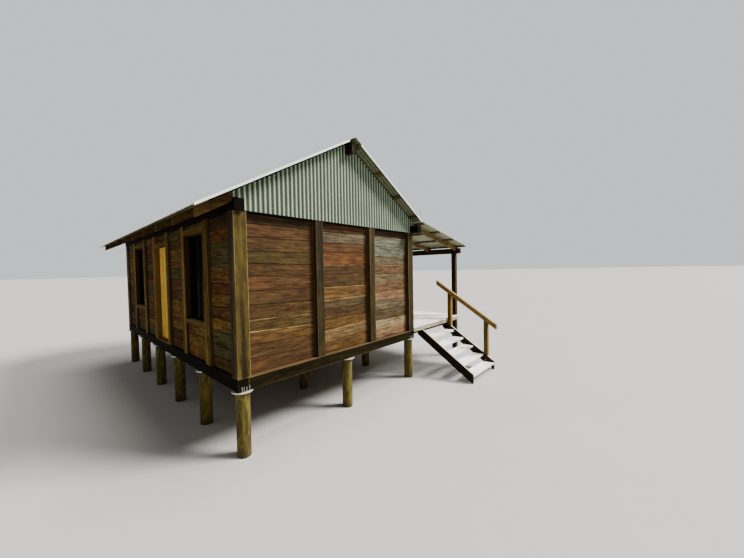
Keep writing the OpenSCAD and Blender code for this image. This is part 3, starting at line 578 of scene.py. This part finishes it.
# A panel's slabs from the top down: height of the slab's lower joint over the sills' underside at the
# panel's left and right edge, and the tone; a name with a plus sign has a lighter upper edge
NEAR_PANELS = [
    # The umber slabs at the top of the first and third panels are darker partly as painted shade under the
    # gable sheet
    [(2.298, 2.300, "umber"), (2.118, 2.111, "russet"), (1.914, 1.914, "brown"), (1.735, 1.725, "olive"),
     (1.557, 1.539, "brown"), (1.351, 1.338, "russet"), (1.154, 1.124, "brown"), (0.948, 0.915, "brown"),
     (0.787, 0.737, "olive+"), (0.596, 0.564, "amber+"), (0.393, 0.357, "brown"), (0.180, 0.180, "russet")],
    [(2.291, 2.310, "russet"), (2.097, 2.110, "drab"), (1.941, 1.948, "russet"), (1.725, 1.724, "copper"),
     (1.553, 1.559, "brown+"), (1.328, 1.325, "brown"), (1.126, 1.130, "ochre+"), (1.057, 1.091, "sand"),
     (0.930, 0.964, "ash"), (0.760, 0.778, "brown"), (0.565, 0.622, "amber"), (0.357, 0.427, "sand+"),
     (0.180, 0.180, "amber")],
    [(2.310, 2.310, "umber"), (2.105, 2.105, "silver"), (1.893, 1.893, "silver"), (1.714, 1.714, "mist"),
     (1.529, 1.529, "rose+"), (1.352, 1.352, "mist"), (1.148, 1.148, "rose+"), (0.972, 0.972, "blush+"),
     (0.766, 0.766, "mist"), (0.560, 0.560, "ash"), (0.366, 0.366, "straw"), (0.180, 0.180, "blush")]]
# The door wall's first panel, beside the near corner, in slabs of one height
NEAR_SIDE_PANEL = "umber rust+ moss moss amber+ rust+ gold russet gold moss moss olive".split()


SLAB_STEP = 0.055
GROOVE_DEPTH = 0.02
GROOVE_HALF = 0.004
SEAM_HALF = 0.0004
EASED = 0.003
SLAB_PROUD = 0.003
LONG_WAVER = 0.005
SAW_MARKS = 0.0016
# Bands along a face's lower and upper edge, and how far the upper one is lightened on slabs marked with a
# plus and darkened, as painted shade under the slab above, on the rest
LOWER_BAND, UPPER_BAND = 0.008, 0.009
EDGE_LIGHTENING, PAINTED_JOINT_SHADE = 0.35, 0.8
TALLEST_SLAB = 0.23
SLAB_HEIGHTS = (0.15, 0.21)
OFF_LEVEL = (-0.012, 0.012)
FACE_SHARES = (0.35, 0.65)
# Ranges of the seeds that give each board its own figure
SLAB_SEEDS, SEEDS = (1, 40), (1, 60)


def joint_line(left, right, seed):
    """Height of a joint at a share of the way along the panel, with a sawn edge's waver."""
    def height(share, length):
        along = share * length
        waver = LONG_WAVER * wobble(along * 2.2, seed) + SAW_MARKS * wobble(along * 11, seed, 5)
        return left + (right - left) * share + waver
    return height


def flat_line(level):
    return lambda share, length: level


def slab(piece, place, span, lower, upper, tone, bright_edge, seed):
    """One sawn slab of a wall, tongued behind so that no light passes its joints."""
    start, end = span
    length = end - start
    steps = max(4, round(length / SLAB_STEP))
    proud = SLAB_PROUD * random.random()
    rings, tones = [], []
    # The upper band: lighter on slabs marked with a plus, and painted shade under the slab above on the rest
    edge = blend(tone, CREAM, EDGE_LIGHTENING) if bright_edge else tuple(PAINTED_JOINT_SHADE * c for c in tone)
    for step in range(steps + 1):
        share = step / steps
        low, high = lower(share, length), upper(share, length)
        face_low, face_high = low + GROOVE_HALF + EASED, high - GROOVE_HALF - EASED
        inner = [face_low + (face_high - face_low) * part for part in FACE_SHARES]
        heights = [face_low, face_low + LOWER_BAND, *inner, face_high - UPPER_BAND, face_high]
        across = start + length * share
        section = [(SLAB_THICKNESS, low + SEAM_HALF), (GROOVE_DEPTH, low + SEAM_HALF),
                   (EASED * 2, low + GROOVE_HALF)]
        section += [(proud + SAW_MARKS * (1 + wobble(across * 3.1, z * 9, seed)), z) for z in heights]
        section += [(EASED * 2, high - GROOVE_HALF), (GROOVE_DEPTH, high - SEAM_HALF),
                    (SLAB_THICKNESS, high - SEAM_HALF)]
        rings.append([place(across, depth, z) for depth, z in section])
        tones += [tone] * 8 + [edge, edge] + [tone] * 2
    piece.loft(rings, tones, seed)


def panel(piece, place, span, bottom, top, slabs):
    """A panel's slabs from the top down; the last one's lower joint is the panel's bottom."""
    upper = flat_line(top)
    for index, (left, right, tone) in enumerate(slabs):
        seed = random.uniform(*SLAB_SEEDS)
        lower = flat_line(bottom) if index == len(slabs) - 1 else joint_line(left, right, seed)
        colour = tinted(TONES[tone.rstrip("+")], spread=0.06)
        slab(piece, place, span, lower, upper, colour, tone.endswith("+"), seed)
        upper = lower


def random_slabs(bottom, top, names):
    """Joints and tones for a panel that the photograph doesn't show clearly."""
    slabs, height = [], top
    while height - bottom > TALLEST_SLAB:
        height -= random.uniform(*SLAB_HEIGHTS)
        slabs.append((height, height + random.uniform(*OFF_LEVEL), random.choice(names)))
    return slabs + [(bottom, bottom, random.choice(names))]


def even_slabs(bottom, top, names):
    """Joints at even heights, each a little off level."""
    step = (top - bottom) / len(names)
    joints = [top - (i + 1) * step for i in range(len(names))]
    return [(z, z + random.uniform(*OFF_LEVEL), name) for z, name in zip(joints, names)]


def gable_place(end):
    """Places a panel's points on the near gable, or turned about onto the far one."""
    def place(across, depth, z):
        y = GABLE_RECESS + depth
        return in_frame(across, y, z) if end == 0 else in_frame(WIDTH - across, LENGTH - y, z)
    return place


def side_place(side):
    """Places a panel's points on the door wall, or mirrored onto the verandah wall."""
    def place(across, depth, z):
        x = SIDE_RECESS + depth
        return in_frame(x if side == 0 else WIDTH - x, across, z)
    return place


def gable_bays():
    bay = (WIDTH - 2 * CORNER_POST - 2 * GABLE_POST) / 3
    for i in range(3):
        start = CORNER_POST + i * (bay + GABLE_POST)
        yield start + PANEL_GAP, start + bay - PANEL_GAP


GABLE_MIX = "russet brown brown amber umber silver ash sand+ rose olive".split()
SIDE_MIX = "brown amber rust moss gold umber ochre+ russet".split()


def gable_slabs(material):
    piece = Piece()
    for slabs, span in zip(NEAR_PANELS, gable_bays()):
        lifted = [(left + SILL_Z, right + SILL_Z, tone) for left, right, tone in slabs]
        panel(piece, gable_place(0), span, SILL_TOP, PLATE_Z, lifted)
    for span in gable_bays():
        panel(piece, gable_place(1), span, SILL_TOP, PLATE_Z, random_slabs(SILL_TOP, PLATE_Z, GABLE_MIX))
    piece.make("gable_wall_slabs", material, ["gable_slabs"])


def side_panels():
    """The door wall's panels: start, end, bottom and top of each."""
    door = ((LENGTH - DOOR_WIDTH) / 2, (LENGTH + DOOR_WIDTH) / 2)
    outer = WINDOW_WIDTH / 2 + WINDOW_POST
    whole = [(CORNER_POST, WINDOWS[0] - outer), (WINDOWS[0] + outer, door[0] - DOOR_POST),
             (door[1] + DOOR_POST, WINDOWS[1] - outer), (WINDOWS[1] + outer, LENGTH - CORNER_POST)]
    for start, end in whole:
        yield start, end, SILL_TOP, PLATE_Z
    for window in WINDOWS:
        start, end = window - WINDOW_WIDTH / 2, window + WINDOW_WIDTH / 2
        yield start, end, SILL_TOP, WINDOW_BOARDS_Z[0]
        yield start, end, WINDOW_BOARDS_Z[1], PLATE_Z
    yield door[0], door[1], DOOR_HEAD_Z, PLATE_Z


def side_slabs(name, node, side, material):
    piece = Piece()
    for start, end, bottom, top in side_panels():
        span = (start + PANEL_GAP, end - PANEL_GAP)
        near = side == 0 and start == CORNER_POST
        slabs = even_slabs(bottom, top, NEAR_SIDE_PANEL) if near else random_slabs(bottom, top, SIDE_MIX)
        panel(piece, side_place(side), span, bottom, top, slabs)
    piece.make(name, material, [node])


# Planks


PLANK_STEP = 0.25
PLANK_BOW = 0.0008
SHORTEST_CUT = 0.012
FLOOR_GAP = 0.001
LEAF_BOARDS = 5
STILE_END = 0.03
KNOB_SIDES = 20
# A knob's rose, neck and round grip: distance from the leaf, and radius
KNOB_PROFILE = [(0.0, 0.026), (0.003, 0.026), (0.005, 0.022), (0.007, 0.009), (0.022, 0.009),
                (0.026, 0.018), (0.033, 0.0248), (0.04, 0.026), (0.047, 0.0235), (0.052, 0.016),
                (0.0548, 0.005)]


def along_x(a, b, c):
    return Vector((a, b, c))


def along_y(a, b, c):
    return Vector((b, a, c))


def along_z(a, b, c):
    return Vector((c, b, a))


def any_seed():
    return random.uniform(*SEEDS)


def plank(piece, place, length, width, thickness, tone, seed, eased=0.003):
    """A plank with eased edges: place(a, b, c) puts a along it, b across it, c through it."""
    start, end = length
    steps = max(2, round((end - start) / PLANK_STEP))
    rings = []
    for step in range(steps + 1):
        a = start + (end - start) * step / steps
        bow = PLANK_BOW * (1 + wobble(a * 1.7, seed))
        low, high = width[0] + bow, width[1] - PLANK_BOW * (1 + wobble(a * 1.7, seed, 7))
        under, over = thickness[0], thickness[1] - bow
        section = [(low, under + eased), (low + eased, under), (high - eased, under), (high, under + eased),
                   (high, over - eased), (high - eased, over), ((low + high) / 2, over),
                   (low + eased, over), (low, over - eased)]
        rings.append([place(a, b, c) for b, c in section])
    piece.loft(rings, tone, seed)


def boards(piece, place, length, across, thickness, count, gap, tone, spread, eased):
    """Equal boards side by side over a width, with a gap after each."""
    step = (across[1] - across[0]) / count
    for i in range(count):
        start = across[0] + i * step
        plank(piece, place, length, (start, start + step - gap), thickness, tinted(tone, spread),
              any_seed(), eased)


def tinted(tone, spread):
    """The tone, a little lighter or darker."""
    factor = random.uniform(1 - spread, 1 + spread)
    return tuple(c * factor for c in tone)


def post_gaps():
    """Stretches along the deck that the verandah posts take, with their clearance."""
    low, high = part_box("verandah_posts")
    step = (high.y - low.y - POST_SIDE) / (POST_COUNT - 1)
    for i in range(POST_COUNT):
        yield low.y + i * step - POST_CLEARANCE, low.y + i * step + POST_SIDE + POST_CLEARANCE


def deck(material):
    """Boards across the deck, cut round the posts at their outer ends."""
    low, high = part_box("deck_boards")
    notch = high.x - POST_SIDE - DECK_PAST_POSTS - POST_CLEARANCE
    count = round((high.y - low.y) / DECK_BOARD)
    step = (high.y - low.y) / count
    piece = Piece()
    for i in range(count):
        start, end = low.y + i * step, low.y + (i + 1) * step - BOARD_GAP
        tone, seed = tinted(DECK_TONE, spread=0.1), any_seed()
        cuts = [gap for gap in post_gaps() if gap[0] < end and gap[1] > start]
        plank(piece, along_x, (low.x, notch if cuts else high.x), (start, end), (low.z, high.z), tone, seed)
        for gap in cuts:
            for left in ((start, min(end, gap[0])), (max(start, gap[1]), end)):
                if left[1] - left[0] > SHORTEST_CUT:
                    plank(piece, along_x, (notch, high.x), left, (low.z, high.z), tone, seed)
    piece.make("deck_planks", material, ["deck_boards"])


def treads(material):
    """Two boards to each tread."""
    low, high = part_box("stair_treads")
    rise = (high.z - low.z - TREAD_THICKNESS) / (TREAD_COUNT - 1)
    going = (high.y - low.y - TREAD_DEPTH) / (TREAD_COUNT - 1)
    piece = Piece()
    for i in range(TREAD_COUNT):
        y, z = low.y + i * going, low.z + i * rise
        middle = y + TREAD_DEPTH / 2
        for start, end in ((y, middle - BOARD_GAP / 2), (middle + BOARD_GAP / 2, y + TREAD_DEPTH)):
            plank(piece, along_x, (low.x, high.x), (start, end), (z, z + TREAD_THICKNESS),
                  tinted(DECK_TONE, spread=0.08), any_seed(), eased=0.004)
    piece.make("stair_boards", material, ["stair_treads"])


def floor_planks(material):
    low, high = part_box("floor_boards")
    count = round((high.x - low.x) / FLOOR_BOARD)
    piece = Piece()
    boards(piece, along_y, (low.y, high.y), (low.x, high.x), (low.z, high.z), count, FLOOR_GAP,
           FLOOR_TONE, spread=0.12, eased=0.0015)
    piece.make("floor_planks", material, ["floor_boards"])


def leaf_boards(name, box, material, nodes, body):
    """Upright boards of a leaf, with grooves between them on both faces."""
    low, high = box
    piece = Piece()
    boards(piece, along_z, (low.z, high.z), (low.y, high.y), (low.x, high.x), LEAF_BOARDS, 0.0,
           DOOR_TONE, spread=0.07, eased=0.004)
    piece.make(name, material, nodes, body)


def verandah_leaf(material):
    """Boards of the shut leaf on the verandah side, between its knobs."""
    low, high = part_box("verandah_door")
    knob = Vector((KNOB_LENGTH, 0, 0))
    leaf_boards("verandah_door_planks", (low + knob, high - knob), material, ["verandah_door"], "root")


def verandah_knobs(material):
    """A knob on both faces of the shut leaf."""
    low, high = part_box("verandah_door")
    y = sill_low.y + (LENGTH - DOOR_WIDTH) / 2 + KNOB_INSET
    piece = Piece()
    for x, way in ((low.x + KNOB_LENGTH, -1), (high.x - KNOB_LENGTH, 1)):
        origin, along = Vector((x, y, low.z + KNOB_HEIGHT)), Vector((way, 0, 0))
        piece.loft([circle(origin + along * reach, along, radius, KNOB_SIDES)
                    for reach, radius in KNOB_PROFILE], PLAIN)
    piece.make("verandah_door_knobs", material, ["verandah_door"], crease=30)


def window_stiles(material):
    """An upright bar in the middle of each window."""
    piece = Piece()
    low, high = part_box("window_frames")
    for window in WINDOWS:
        y = sill_low.y + window
        for x in (low.x + STILE_INSET, high.x - STILE_INSET - STILE_DEPTH):
            plank(piece, along_z, (low.z + STILE_END, high.z - STILE_END),
                  (y - STILE_WIDTH / 2, y + STILE_WIDTH / 2), (x, x + STILE_DEPTH), PLAIN, any_seed())
    piece.make("window_stiles", material)


# Corrugated steel


def wave(distance, pitch):
    return CORRUGATION_DEPTH / 2 * (1 + math.sin(math.tau * distance / pitch + WAVE_PHASE))


def corrugated(piece, place, span, width, ends, tones, seed, stations=3):
    """One sheet: place(s, d, h) puts a point s across the waves, d along them, h off the low face.

    The tones are those of the outer face's crests and hollows, and of the inner face's; the darker hollows
    and the inner face's dark tones are painted shade.
    """
    pitch = width / round(width / CORRUGATION)
    steps = max(2, round((span[1] - span[0]) / pitch * WAVE_STEPS))
    rings, ring_tones = [], []
    for i in range(steps + 1):
        s = span[0] + (span[1] - span[0]) * i / steps
        low, high = ends(s)
        along = [low + (high - low) * k / (stations - 1) for k in range(stations)]
        share = wave(s, pitch) / CORRUGATION_DEPTH
        under = wave(s, pitch) - STEEL * i / steps
        rings.append([place(s, d, under) for d in along] +
                     [place(s, d, under + STEEL) for d in reversed(along)])
        # Painted shade: the hollows darken, and the light tone shows only near the crests
        ring_tones += [blend(tones[3], tones[2], share ** 3)] * stations
        ring_tones += [blend(tones[1], tones[0], share ** 2)] * stations
    piece.loft(rings, ring_tones, seed)


def sheet_spans(width):
    """Laps of the sheets across a width: each lies half a corrugation over the one before."""
    count = math.ceil(width / COVER)
    for k in range(count):
        yield max(0.0, k * COVER - CORRUGATION / 2), min(width, (k + 1) * COVER + CORRUGATION / 2)


# Crests and hollows of the outer face, then of the inner one: the dark hollows are painted shade, and the
# inner face's dark tones are painted shade, with a painted green bounce light under the roofs
ROOF_TONES = [linear(188, 196, 188), linear(160, 168, 158),
              linear(100, 106, 66), linear(58, 66, 36)]
VERANDAH_TONES = ROOF_TONES[:2] + [linear(146, 146, 108), linear(88, 90, 58)]
GABLE_TONES = [linear(154, 172, 149), linear(32, 44, 25),
               linear(120, 126, 104), linear(96, 100, 80)]
# How much lighter or darker a sheet is, how far up the slope it starts, and its seed's step
SHEET_TINTS, SHEET_STARTS = (0.93, 1.05), (0.0, 0.004)
ROOF_SEED, GABLE_SEED = 3.7, 2.9
# The gable cladding: how far its notches reach in round the plates' ends, the gap round what passes
# it, how far it starts over the plates' underside, and the narrowest strip that is made
PLATE_NOTCH = 0.142
NOTCH_GAP = 0.002
CLADDING_START = 0.01
NARROWEST = 0.004


# Roof planes: piece, node, pitch, tones, and whether it rises towards +X or -X
ROOF_PLANES = [("roof_sheets_left", "roof_sheet_left", ROOF_PITCH, ROOF_TONES, 1),
               ("roof_sheets_right", "roof_sheet_right", ROOF_PITCH, ROOF_TONES, -1),
               ("verandah_sheets", "verandah_sheet", VERANDAH_PITCH, VERANDAH_TONES, -1)]


def slope(node, pitch, towards):
    """A roof plane's place function, which starts at its eave, and its length up the slope."""
    low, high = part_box(node)
    tip = SHEET_DEPTH * math.sin(pitch)
    eave = low.x + tip if towards > 0 else high.x - tip
    rise = Vector((towards * math.cos(pitch), 0, math.sin(pitch)))
    out = Vector((-towards * math.sin(pitch), 0, math.cos(pitch)))
    def place(s, d, h):
        return Vector((eave, ROOF_START + s, low.z)) + rise * d + out * h
    return place, (high.x - low.x - tip) / math.cos(pitch)


def roof_sheets(material):
    for name, node, pitch, own_tones, towards in ROOF_PLANES:
        place, run = slope(node, pitch, towards)
        piece = Piece()
        for index, span in enumerate(sheet_spans(ROOF_LENGTH)):
            tint = random.uniform(*SHEET_TINTS)
            start = random.uniform(*SHEET_STARTS)
            tones = [tuple(c * tint for c in tone) for tone in own_tones]
            corrugated(piece, place, span, ROOF_LENGTH, lambda s: (start, run), tones, index * ROOF_SEED)
        piece.make(name, material, [node], crease=60)


def gable_edges():
    """Stretches of the gable cladding between its notches: start, end, bottom and top functions."""
    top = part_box("gable_sheets")[1].z
    beam_low, beam_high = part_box("ridge_beam")
    beam_start = beam_low.x - sill_low.x - NOTCH_GAP
    beam_end = beam_high.x - sill_low.x + NOTCH_GAP
    low = PLATE_Z + CLADDING_START
    over_plate = PLATE_TOP + NOTCH_GAP
    def slope_top(x):
        return min(top, top - (beam_start - min(x, WIDTH - x)) * math.tan(ROOF_PITCH))
    return [(NOTCH_GAP, PLATE_NOTCH, over_plate, slope_top), (PLATE_NOTCH, beam_start, low, slope_top),
            (beam_start, beam_end, low, lambda x: beam_low.z - NOTCH_GAP),
            (beam_end, WIDTH - PLATE_NOTCH, low, slope_top),
            (WIDTH - PLATE_NOTCH, WIDTH - NOTCH_GAP, over_plate, slope_top)]


def gable_face(end):
    """Places points on the near gable, or turned about onto the far one, h out from the wall."""
    def place(s, z, h):
        return in_frame(WIDTH - s, LENGTH + h, z) if end else in_frame(s, -h, z)
    return place


def gable_sheets(material):
    piece = Piece()
    for end in (0, 1):
        for first, last, bottom, top in gable_edges():
            for index, (start, stop) in enumerate(sheet_spans(WIDTH)):
                span = (max(first, start), min(last, stop))
                if span[1] - span[0] > NARROWEST:
                    corrugated(piece, gable_face(end), span, WIDTH, lambda s: (bottom, top(s)),
                               GABLE_TONES, index * GABLE_SEED, stations=2)
    piece.make("gable_cladding", material, ["gable_sheets"], crease=60)


# Screws and bolts


SCREW_TONE = linear(150, 152, 148)
GABLE_SCREW_TONE = linear(84, 98, 80)
BOLT_TONE = linear(120, 116, 108)
SCREW, BOLT = 0.006, 0.011
SCREW_EVERY = 3
WASHER = 1.5
# Where the crests and the hollows lie on a wave
CREST, HOLLOW = 1 / 6, 2 / 3
GABLE_SCREW_ROWS = (0.09, 0.5, 0.95)
SCREW_EDGE = 0.1
BOLT_DROPS = (0.05, 0.13)
BOLT_SHARES = (0.7, 0.3)
STRAP_PLACES = (0.052, 0.081, 0.118, 0.16)
STRAP_FOOT = 0.006
STRAP_HEIGHTS = (0.056, 0.068)
STRAP_WIDTH = 0.012
STRAP_DEPTH = (-0.002, 0.003)
STRAP_TONE = linear(118, 116, 104)


def hexagon_head(piece, origin, up, size, tone):
    """A hexagonal head on a washer, standing off a face."""
    up = up.normalized()
    turn = random.uniform(0, math.tau / 6)
    def ring(radius, reach, sides=6, start=turn):
        return circle(origin + up * reach, up, radius, sides, start)
    thin = size * 0.25
    piece.loft([ring(size * WASHER, -0.001, 12, 0), ring(size * WASHER, thin * 0.6, 12, 0),
                ring(size * WASHER * 0.8, thin, 12, 0)], tone)
    piece.loft([ring(size, thin * 0.5), ring(size, size * 0.8), ring(size * 0.8, size)], tone)


def screw_places(length, share):
    """Places across a sheet that lie at a share of a wave, on every third wave."""
    count = round(length / CORRUGATION)
    pitch = length / count
    return [(k + share) * pitch for k in range(1, count, SCREW_EVERY)]


def batten_places(first, last):
    """Even places for a slope's battens, measured level."""
    return [first + i * (last - first) / (BATTEN_COUNT - 1) for i in range(BATTEN_COUNT)]


def batten_runs():
    """For each roof plane: its place function and how far up the slope each batten lies."""
    steps = batten_places(BATTEN_WALL, WIDTH / 2 - BATTEN_TOP)
    under = batten_places(VERANDAH_BATTEN, VERANDAH_WIDTH - POST_SIDE / 2)
    eave_left = sill_low.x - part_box("roof_sheet_left")[0].x
    eave_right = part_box("roof_sheet_right")[1].x - sill_high.x
    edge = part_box("verandah_sheet")[1].x - sill_high.x
    # How far in from its eave each batten lies, measured level
    level = [[x + eave_left for x in [-TAIL_BATTEN] + steps], [x + eave_right for x in steps],
             [edge - x for x in under]]
    for (_, node, pitch, _, towards), runs in zip(ROOF_PLANES, level):
        yield slope(node, pitch, towards)[0], [run / math.cos(pitch) for run in runs]


def roof_screws(material):
    """Screws in the sheets' crests over each batten, and along both sides of the ridge cap."""
    piece = Piece()
    for place, runs in batten_runs():
        for run in runs:
            for s in screw_places(ROOF_LENGTH, CREST):
                origin = place(s, run, SHEET_DEPTH - 0.001)
                hexagon_head(piece, origin, place(s, run, 1.0) - origin, SCREW, SCREW_TONE)
    cap_low, cap_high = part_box("ridge_cap")
    middle = (cap_low.x + cap_high.x) / 2
    z = cap_high.z - CAP_SCREW * math.tan(ROOF_PITCH)
    for s in screw_places(ROOF_LENGTH, CREST):
        for side in (-1, 1):
            up = Vector((side * math.sin(ROOF_PITCH), 0, math.cos(ROOF_PITCH)))
            origin = Vector((middle + side * CAP_SCREW, ROOF_START + s, z))
            hexagon_head(piece, origin, up, SCREW, SCREW_TONE)
    piece.make("roof_screws", material, crease=30)


def gable_screws(material):
    """Rows of screws in the hollows of the gable sheets, into the plates and the framing."""
    piece = Piece()
    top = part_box("gable_sheets")[1].z
    for end in (0, 1):
        for height in (PLATE_Z + rise for rise in GABLE_SCREW_ROWS):
            for s in screw_places(WIDTH, HOLLOW):
                if height <= top - SCREW_EDGE - abs(s - WIDTH / 2) * math.tan(ROOF_PITCH):
                    out = Vector((0, 1 if end else -1, 0))
                    hexagon_head(piece, gable_face(end)(s, height, STEEL), out, SCREW, GABLE_SCREW_TONE)
    piece.make("gable_screws", material, crease=30)


def timber_bolts(material):
    """Bolts through the rail posts and stringers, and through the verandah posts and deck bearers."""
    piece = Piece()
    low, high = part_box("handrail_posts")
    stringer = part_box("stair_stringers")[1]
    for y in (low.y + RAIL_POST / 2, high.y - RAIL_POST / 2):
        foot = stringer.z + (y - stringer.y) * STAIR_SLOPE
        for drop in BOLT_DROPS:
            hexagon_head(piece, Vector((low.x, y, foot - drop)), Vector((-1, 0, 0)), BOLT, BOLT_TONE)
    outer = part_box("verandah_posts")[1].x
    bearer_low, bearer_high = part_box("deck_bearers")
    for index, (start, end) in enumerate(post_gaps()):
        first = index < POST_COUNT / 2
        y = start + POST_CLEARANCE if first else end - POST_CLEARANCE
        for share in BOLT_SHARES:
            origin = Vector((outer - POST_SIDE * share, y, (bearer_low.z + bearer_high.z) / 2))
            hexagon_head(piece, origin, Vector((0, -1 if first else 1, 0)), BOLT, BOLT_TONE)
    piece.make("timber_bolts", material, crease=30)


def corner_straps(material):
    """Short upright straps on the gables' sills, over each corner stump."""
    piece = Piece()
    for end in (0, 1):
        for x in STRAP_PLACES:
            height = random.uniform(*STRAP_HEIGHTS)
            for across in (x, WIDTH - x):
                def place(a, b, c):
                    return in_frame(across + b, -c if end == 0 else LENGTH + c, SILL_Z + a)
                plank(piece, place, (STRAP_FOOT, STRAP_FOOT + height), (-STRAP_WIDTH / 2, STRAP_WIDTH / 2),
                      STRAP_DEPTH, STRAP_TONE, any_seed(), eased=0.001)
    piece.make("corner_straps", material)


# Round timber


STUMP_RADIUS = 0.1
STUMP_ROWS, STUMPS_IN_ROW = 3, 6
STUMP_LEVELS, STUMP_SIDES = 8, 28
# How uneven the bark is, as shares of the radius
STUMP_LUMPS, STUMP_FLUTES = 0.03, 0.015


def stump_ring(x, y, z, seed):
    """An uneven ring round a stump, inside its true radius."""
    ring = []
    for k in range(STUMP_SIDES):
        angle = math.tau * k / STUMP_SIDES
        lumps = wobble(math.cos(angle) * 1.4, math.sin(angle) * 1.4, seed + z * 0.8)
        flute = wobble(math.cos(angle) * 6, math.sin(angle) * 6, seed)
        reach = STUMP_RADIUS * (1 - STUMP_LUMPS - STUMP_FLUTES + STUMP_LUMPS * lumps + STUMP_FLUTES * flute)
        ring.append(Vector((x + reach * math.cos(angle), y + reach * math.sin(angle), z)))
    return ring


def stumps(material):
    piece = Piece()
    low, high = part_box("stumps")
    wide, long = high.x - low.x - 2 * STUMP_RADIUS, high.y - low.y - 2 * STUMP_RADIUS
    for i in range(STUMP_ROWS):
        for k in range(STUMPS_IN_ROW):
            x = low.x + STUMP_RADIUS + wide * i / (STUMP_ROWS - 1)
            y = low.y + STUMP_RADIUS + long * k / (STUMPS_IN_ROW - 1)
            seed = any_seed()
            rings = [stump_ring(x, y, high.z * level / STUMP_LEVELS, seed)
                     for level in range(STUMP_LEVELS + 1)]
            piece.loft(rings, PLAIN, seed)
    piece.make("round_stumps", material, ["stumps"], crease=50)


# Camera, light and stage


FAR_CLIP = 1000
FLOOR_SIDES, FLOOR_RADIUS = 96, 400.0
SUN_COLOUR = (1.0, 0.97, 0.92)
# Colour and strength of the light from all around, and of the backdrop that the camera sees
FILL = (1.0, 0.98, 0.94, 1), 0.36
BACKDROP = (0.86, 0.88, 0.9, 1), 0.95


def camera():
    made = new_object("camera", bpy.data.cameras.new("camera"))
    turn = (Matrix.Rotation(-CAMERA_YAW, 4, "Z") @ Matrix.Rotation(math.pi / 2 + CAMERA_PITCH, 4, "X")
            @ Matrix.Rotation(CAMERA_ROLL, 4, "Z"))
    made.matrix_world = Matrix.Translation(in_frame(*CAMERA_PLACE)) @ turn
    made.data.sensor_width = SENSOR
    made.data.lens = FOCAL_PIXELS * SENSOR / PHOTO_WIDTH
    made.data.shift_x = (PHOTO_WIDTH / 2 - PRINCIPAL_X) / PHOTO_WIDTH
    made.data.shift_y = (PRINCIPAL_Y - PHOTO_HEIGHT / 2) / PHOTO_WIDTH
    made.data.clip_end = FAR_CLIP
    bpy.context.scene.camera = made


def sun_light(name, energy, spread, towards):
    made = new_object(name, bpy.data.lights.new(name, "SUN"))
    made.data.energy = energy
    made.data.angle = math.radians(spread)
    made.data.color = SUN_COLOUR
    made.rotation_mode = "QUATERNION"
    made.rotation_quaternion = Vector(towards).to_track_quat("Z", "Y")


def lights():
    sun_light("top_light", energy=3.0, spread=30, towards=(0.2, -0.1, 0.95))
    sun_light("key_light", energy=9.0, spread=20, towards=(0.55, -0.55, 0.72))
    world = bpy.data.worlds.new("studio")
    bpy.context.scene.world = world
    world.use_nodes = True
    nodes, links = world.node_tree.nodes, world.node_tree.links
    chosen = nodes.new("ShaderNodeMixShader")
    shaders = (nodes["Background"], nodes.new("ShaderNodeBackground"))
    for index, (shader, (colour, strength)) in enumerate(zip(shaders, (FILL, BACKDROP)), start=1):
        shader.inputs["Color"].default_value = colour
        shader.inputs["Strength"].default_value = strength
        links.new(shader.outputs[0], chosen.inputs[index])
    links.new(nodes.new("ShaderNodeLightPath").outputs["Is Camera Ray"], chosen.inputs[0])
    links.new(chosen.outputs[0], nodes["World Output"].inputs["Surface"])


def floor():
    t = Tree("floor_paint")
    place = t.own("Object")
    colour = t.mix(t.noise(place, 0.6, 3.0), (0.36, 0.36, 0.35), (0.39, 0.39, 0.38))
    material = t.finish(colour, 0.85, t.bump(t.noise(place, 60.0), 0.0005, 0.3))
    mesh = bpy.data.meshes.new("studio_floor")
    turn = [math.tau * k / FLOOR_SIDES for k in range(FLOOR_SIDES)]
    rim = [(FLOOR_RADIUS * math.cos(a), FLOOR_RADIUS * math.sin(a), 0.0) for a in turn]
    mesh.from_pydata(rim, [], [list(range(FLOOR_SIDES))])
    mesh.materials.append(material)
    made = new_object("studio_floor", mesh)


random.seed(7)
camera()
lights()
floor()
finish_nodes()
slab_wood_x = timber("slab_across", "X", contrast=0.85, silver=0.2, knots=0.9)
slab_wood_y = timber("slab_along", "Y", contrast=0.9, silver=0.05, knots=0.8, shine=0.03)
gable_slabs(slab_wood_x)
side_slabs("door_wall_slabs", "side_slabs_left", 0, slab_wood_y)
side_slabs("verandah_wall_slabs", "side_slabs_right", 1, slab_wood_y)
roof_sheets(steel("roof_paint", "X"))
gable_sheets(steel("gable_paint", "Z", dirt=0.15))
stumps(bark("stump_wood"))
deck(timber("deck_board", "X", contrast=0.2, silver=0.12, knots=0.1))
treads(timber("tread_board", "X", contrast=0.2, silver=0.12, knots=0.1))
floor_planks(timber("floor_board", "Y", silver=0.1))
leaf_wood = timber("door_wood", "Z", contrast=0.3, silver=0.0, knots=0.5)
leaf_boards("door_planks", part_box("door_leaf"), leaf_wood, ["door_leaf"], "door")
verandah_leaf(leaf_wood)
verandah_knobs(steel("knob_steel", "Z", **FITTINGS))
window_stiles(timber("stile_wood", "Z", (22, 19, 13), contrast=0.3, silver=0.0, knots=0.0, shine=0.03))
screw_zinc = steel("screw_zinc", "Z", rust=0.3, gloss=0.5, metallic=0.4)
roof_screws(screw_zinc)
gable_screws(screw_zinc)
timber_bolts(steel("bolt_zinc", "Z", rust=0.5, gloss=0.5, metallic=0.6))
corner_straps(steel("strap_zinc", "Z", rust=0.2, gloss=0.45, metallic=0.3))
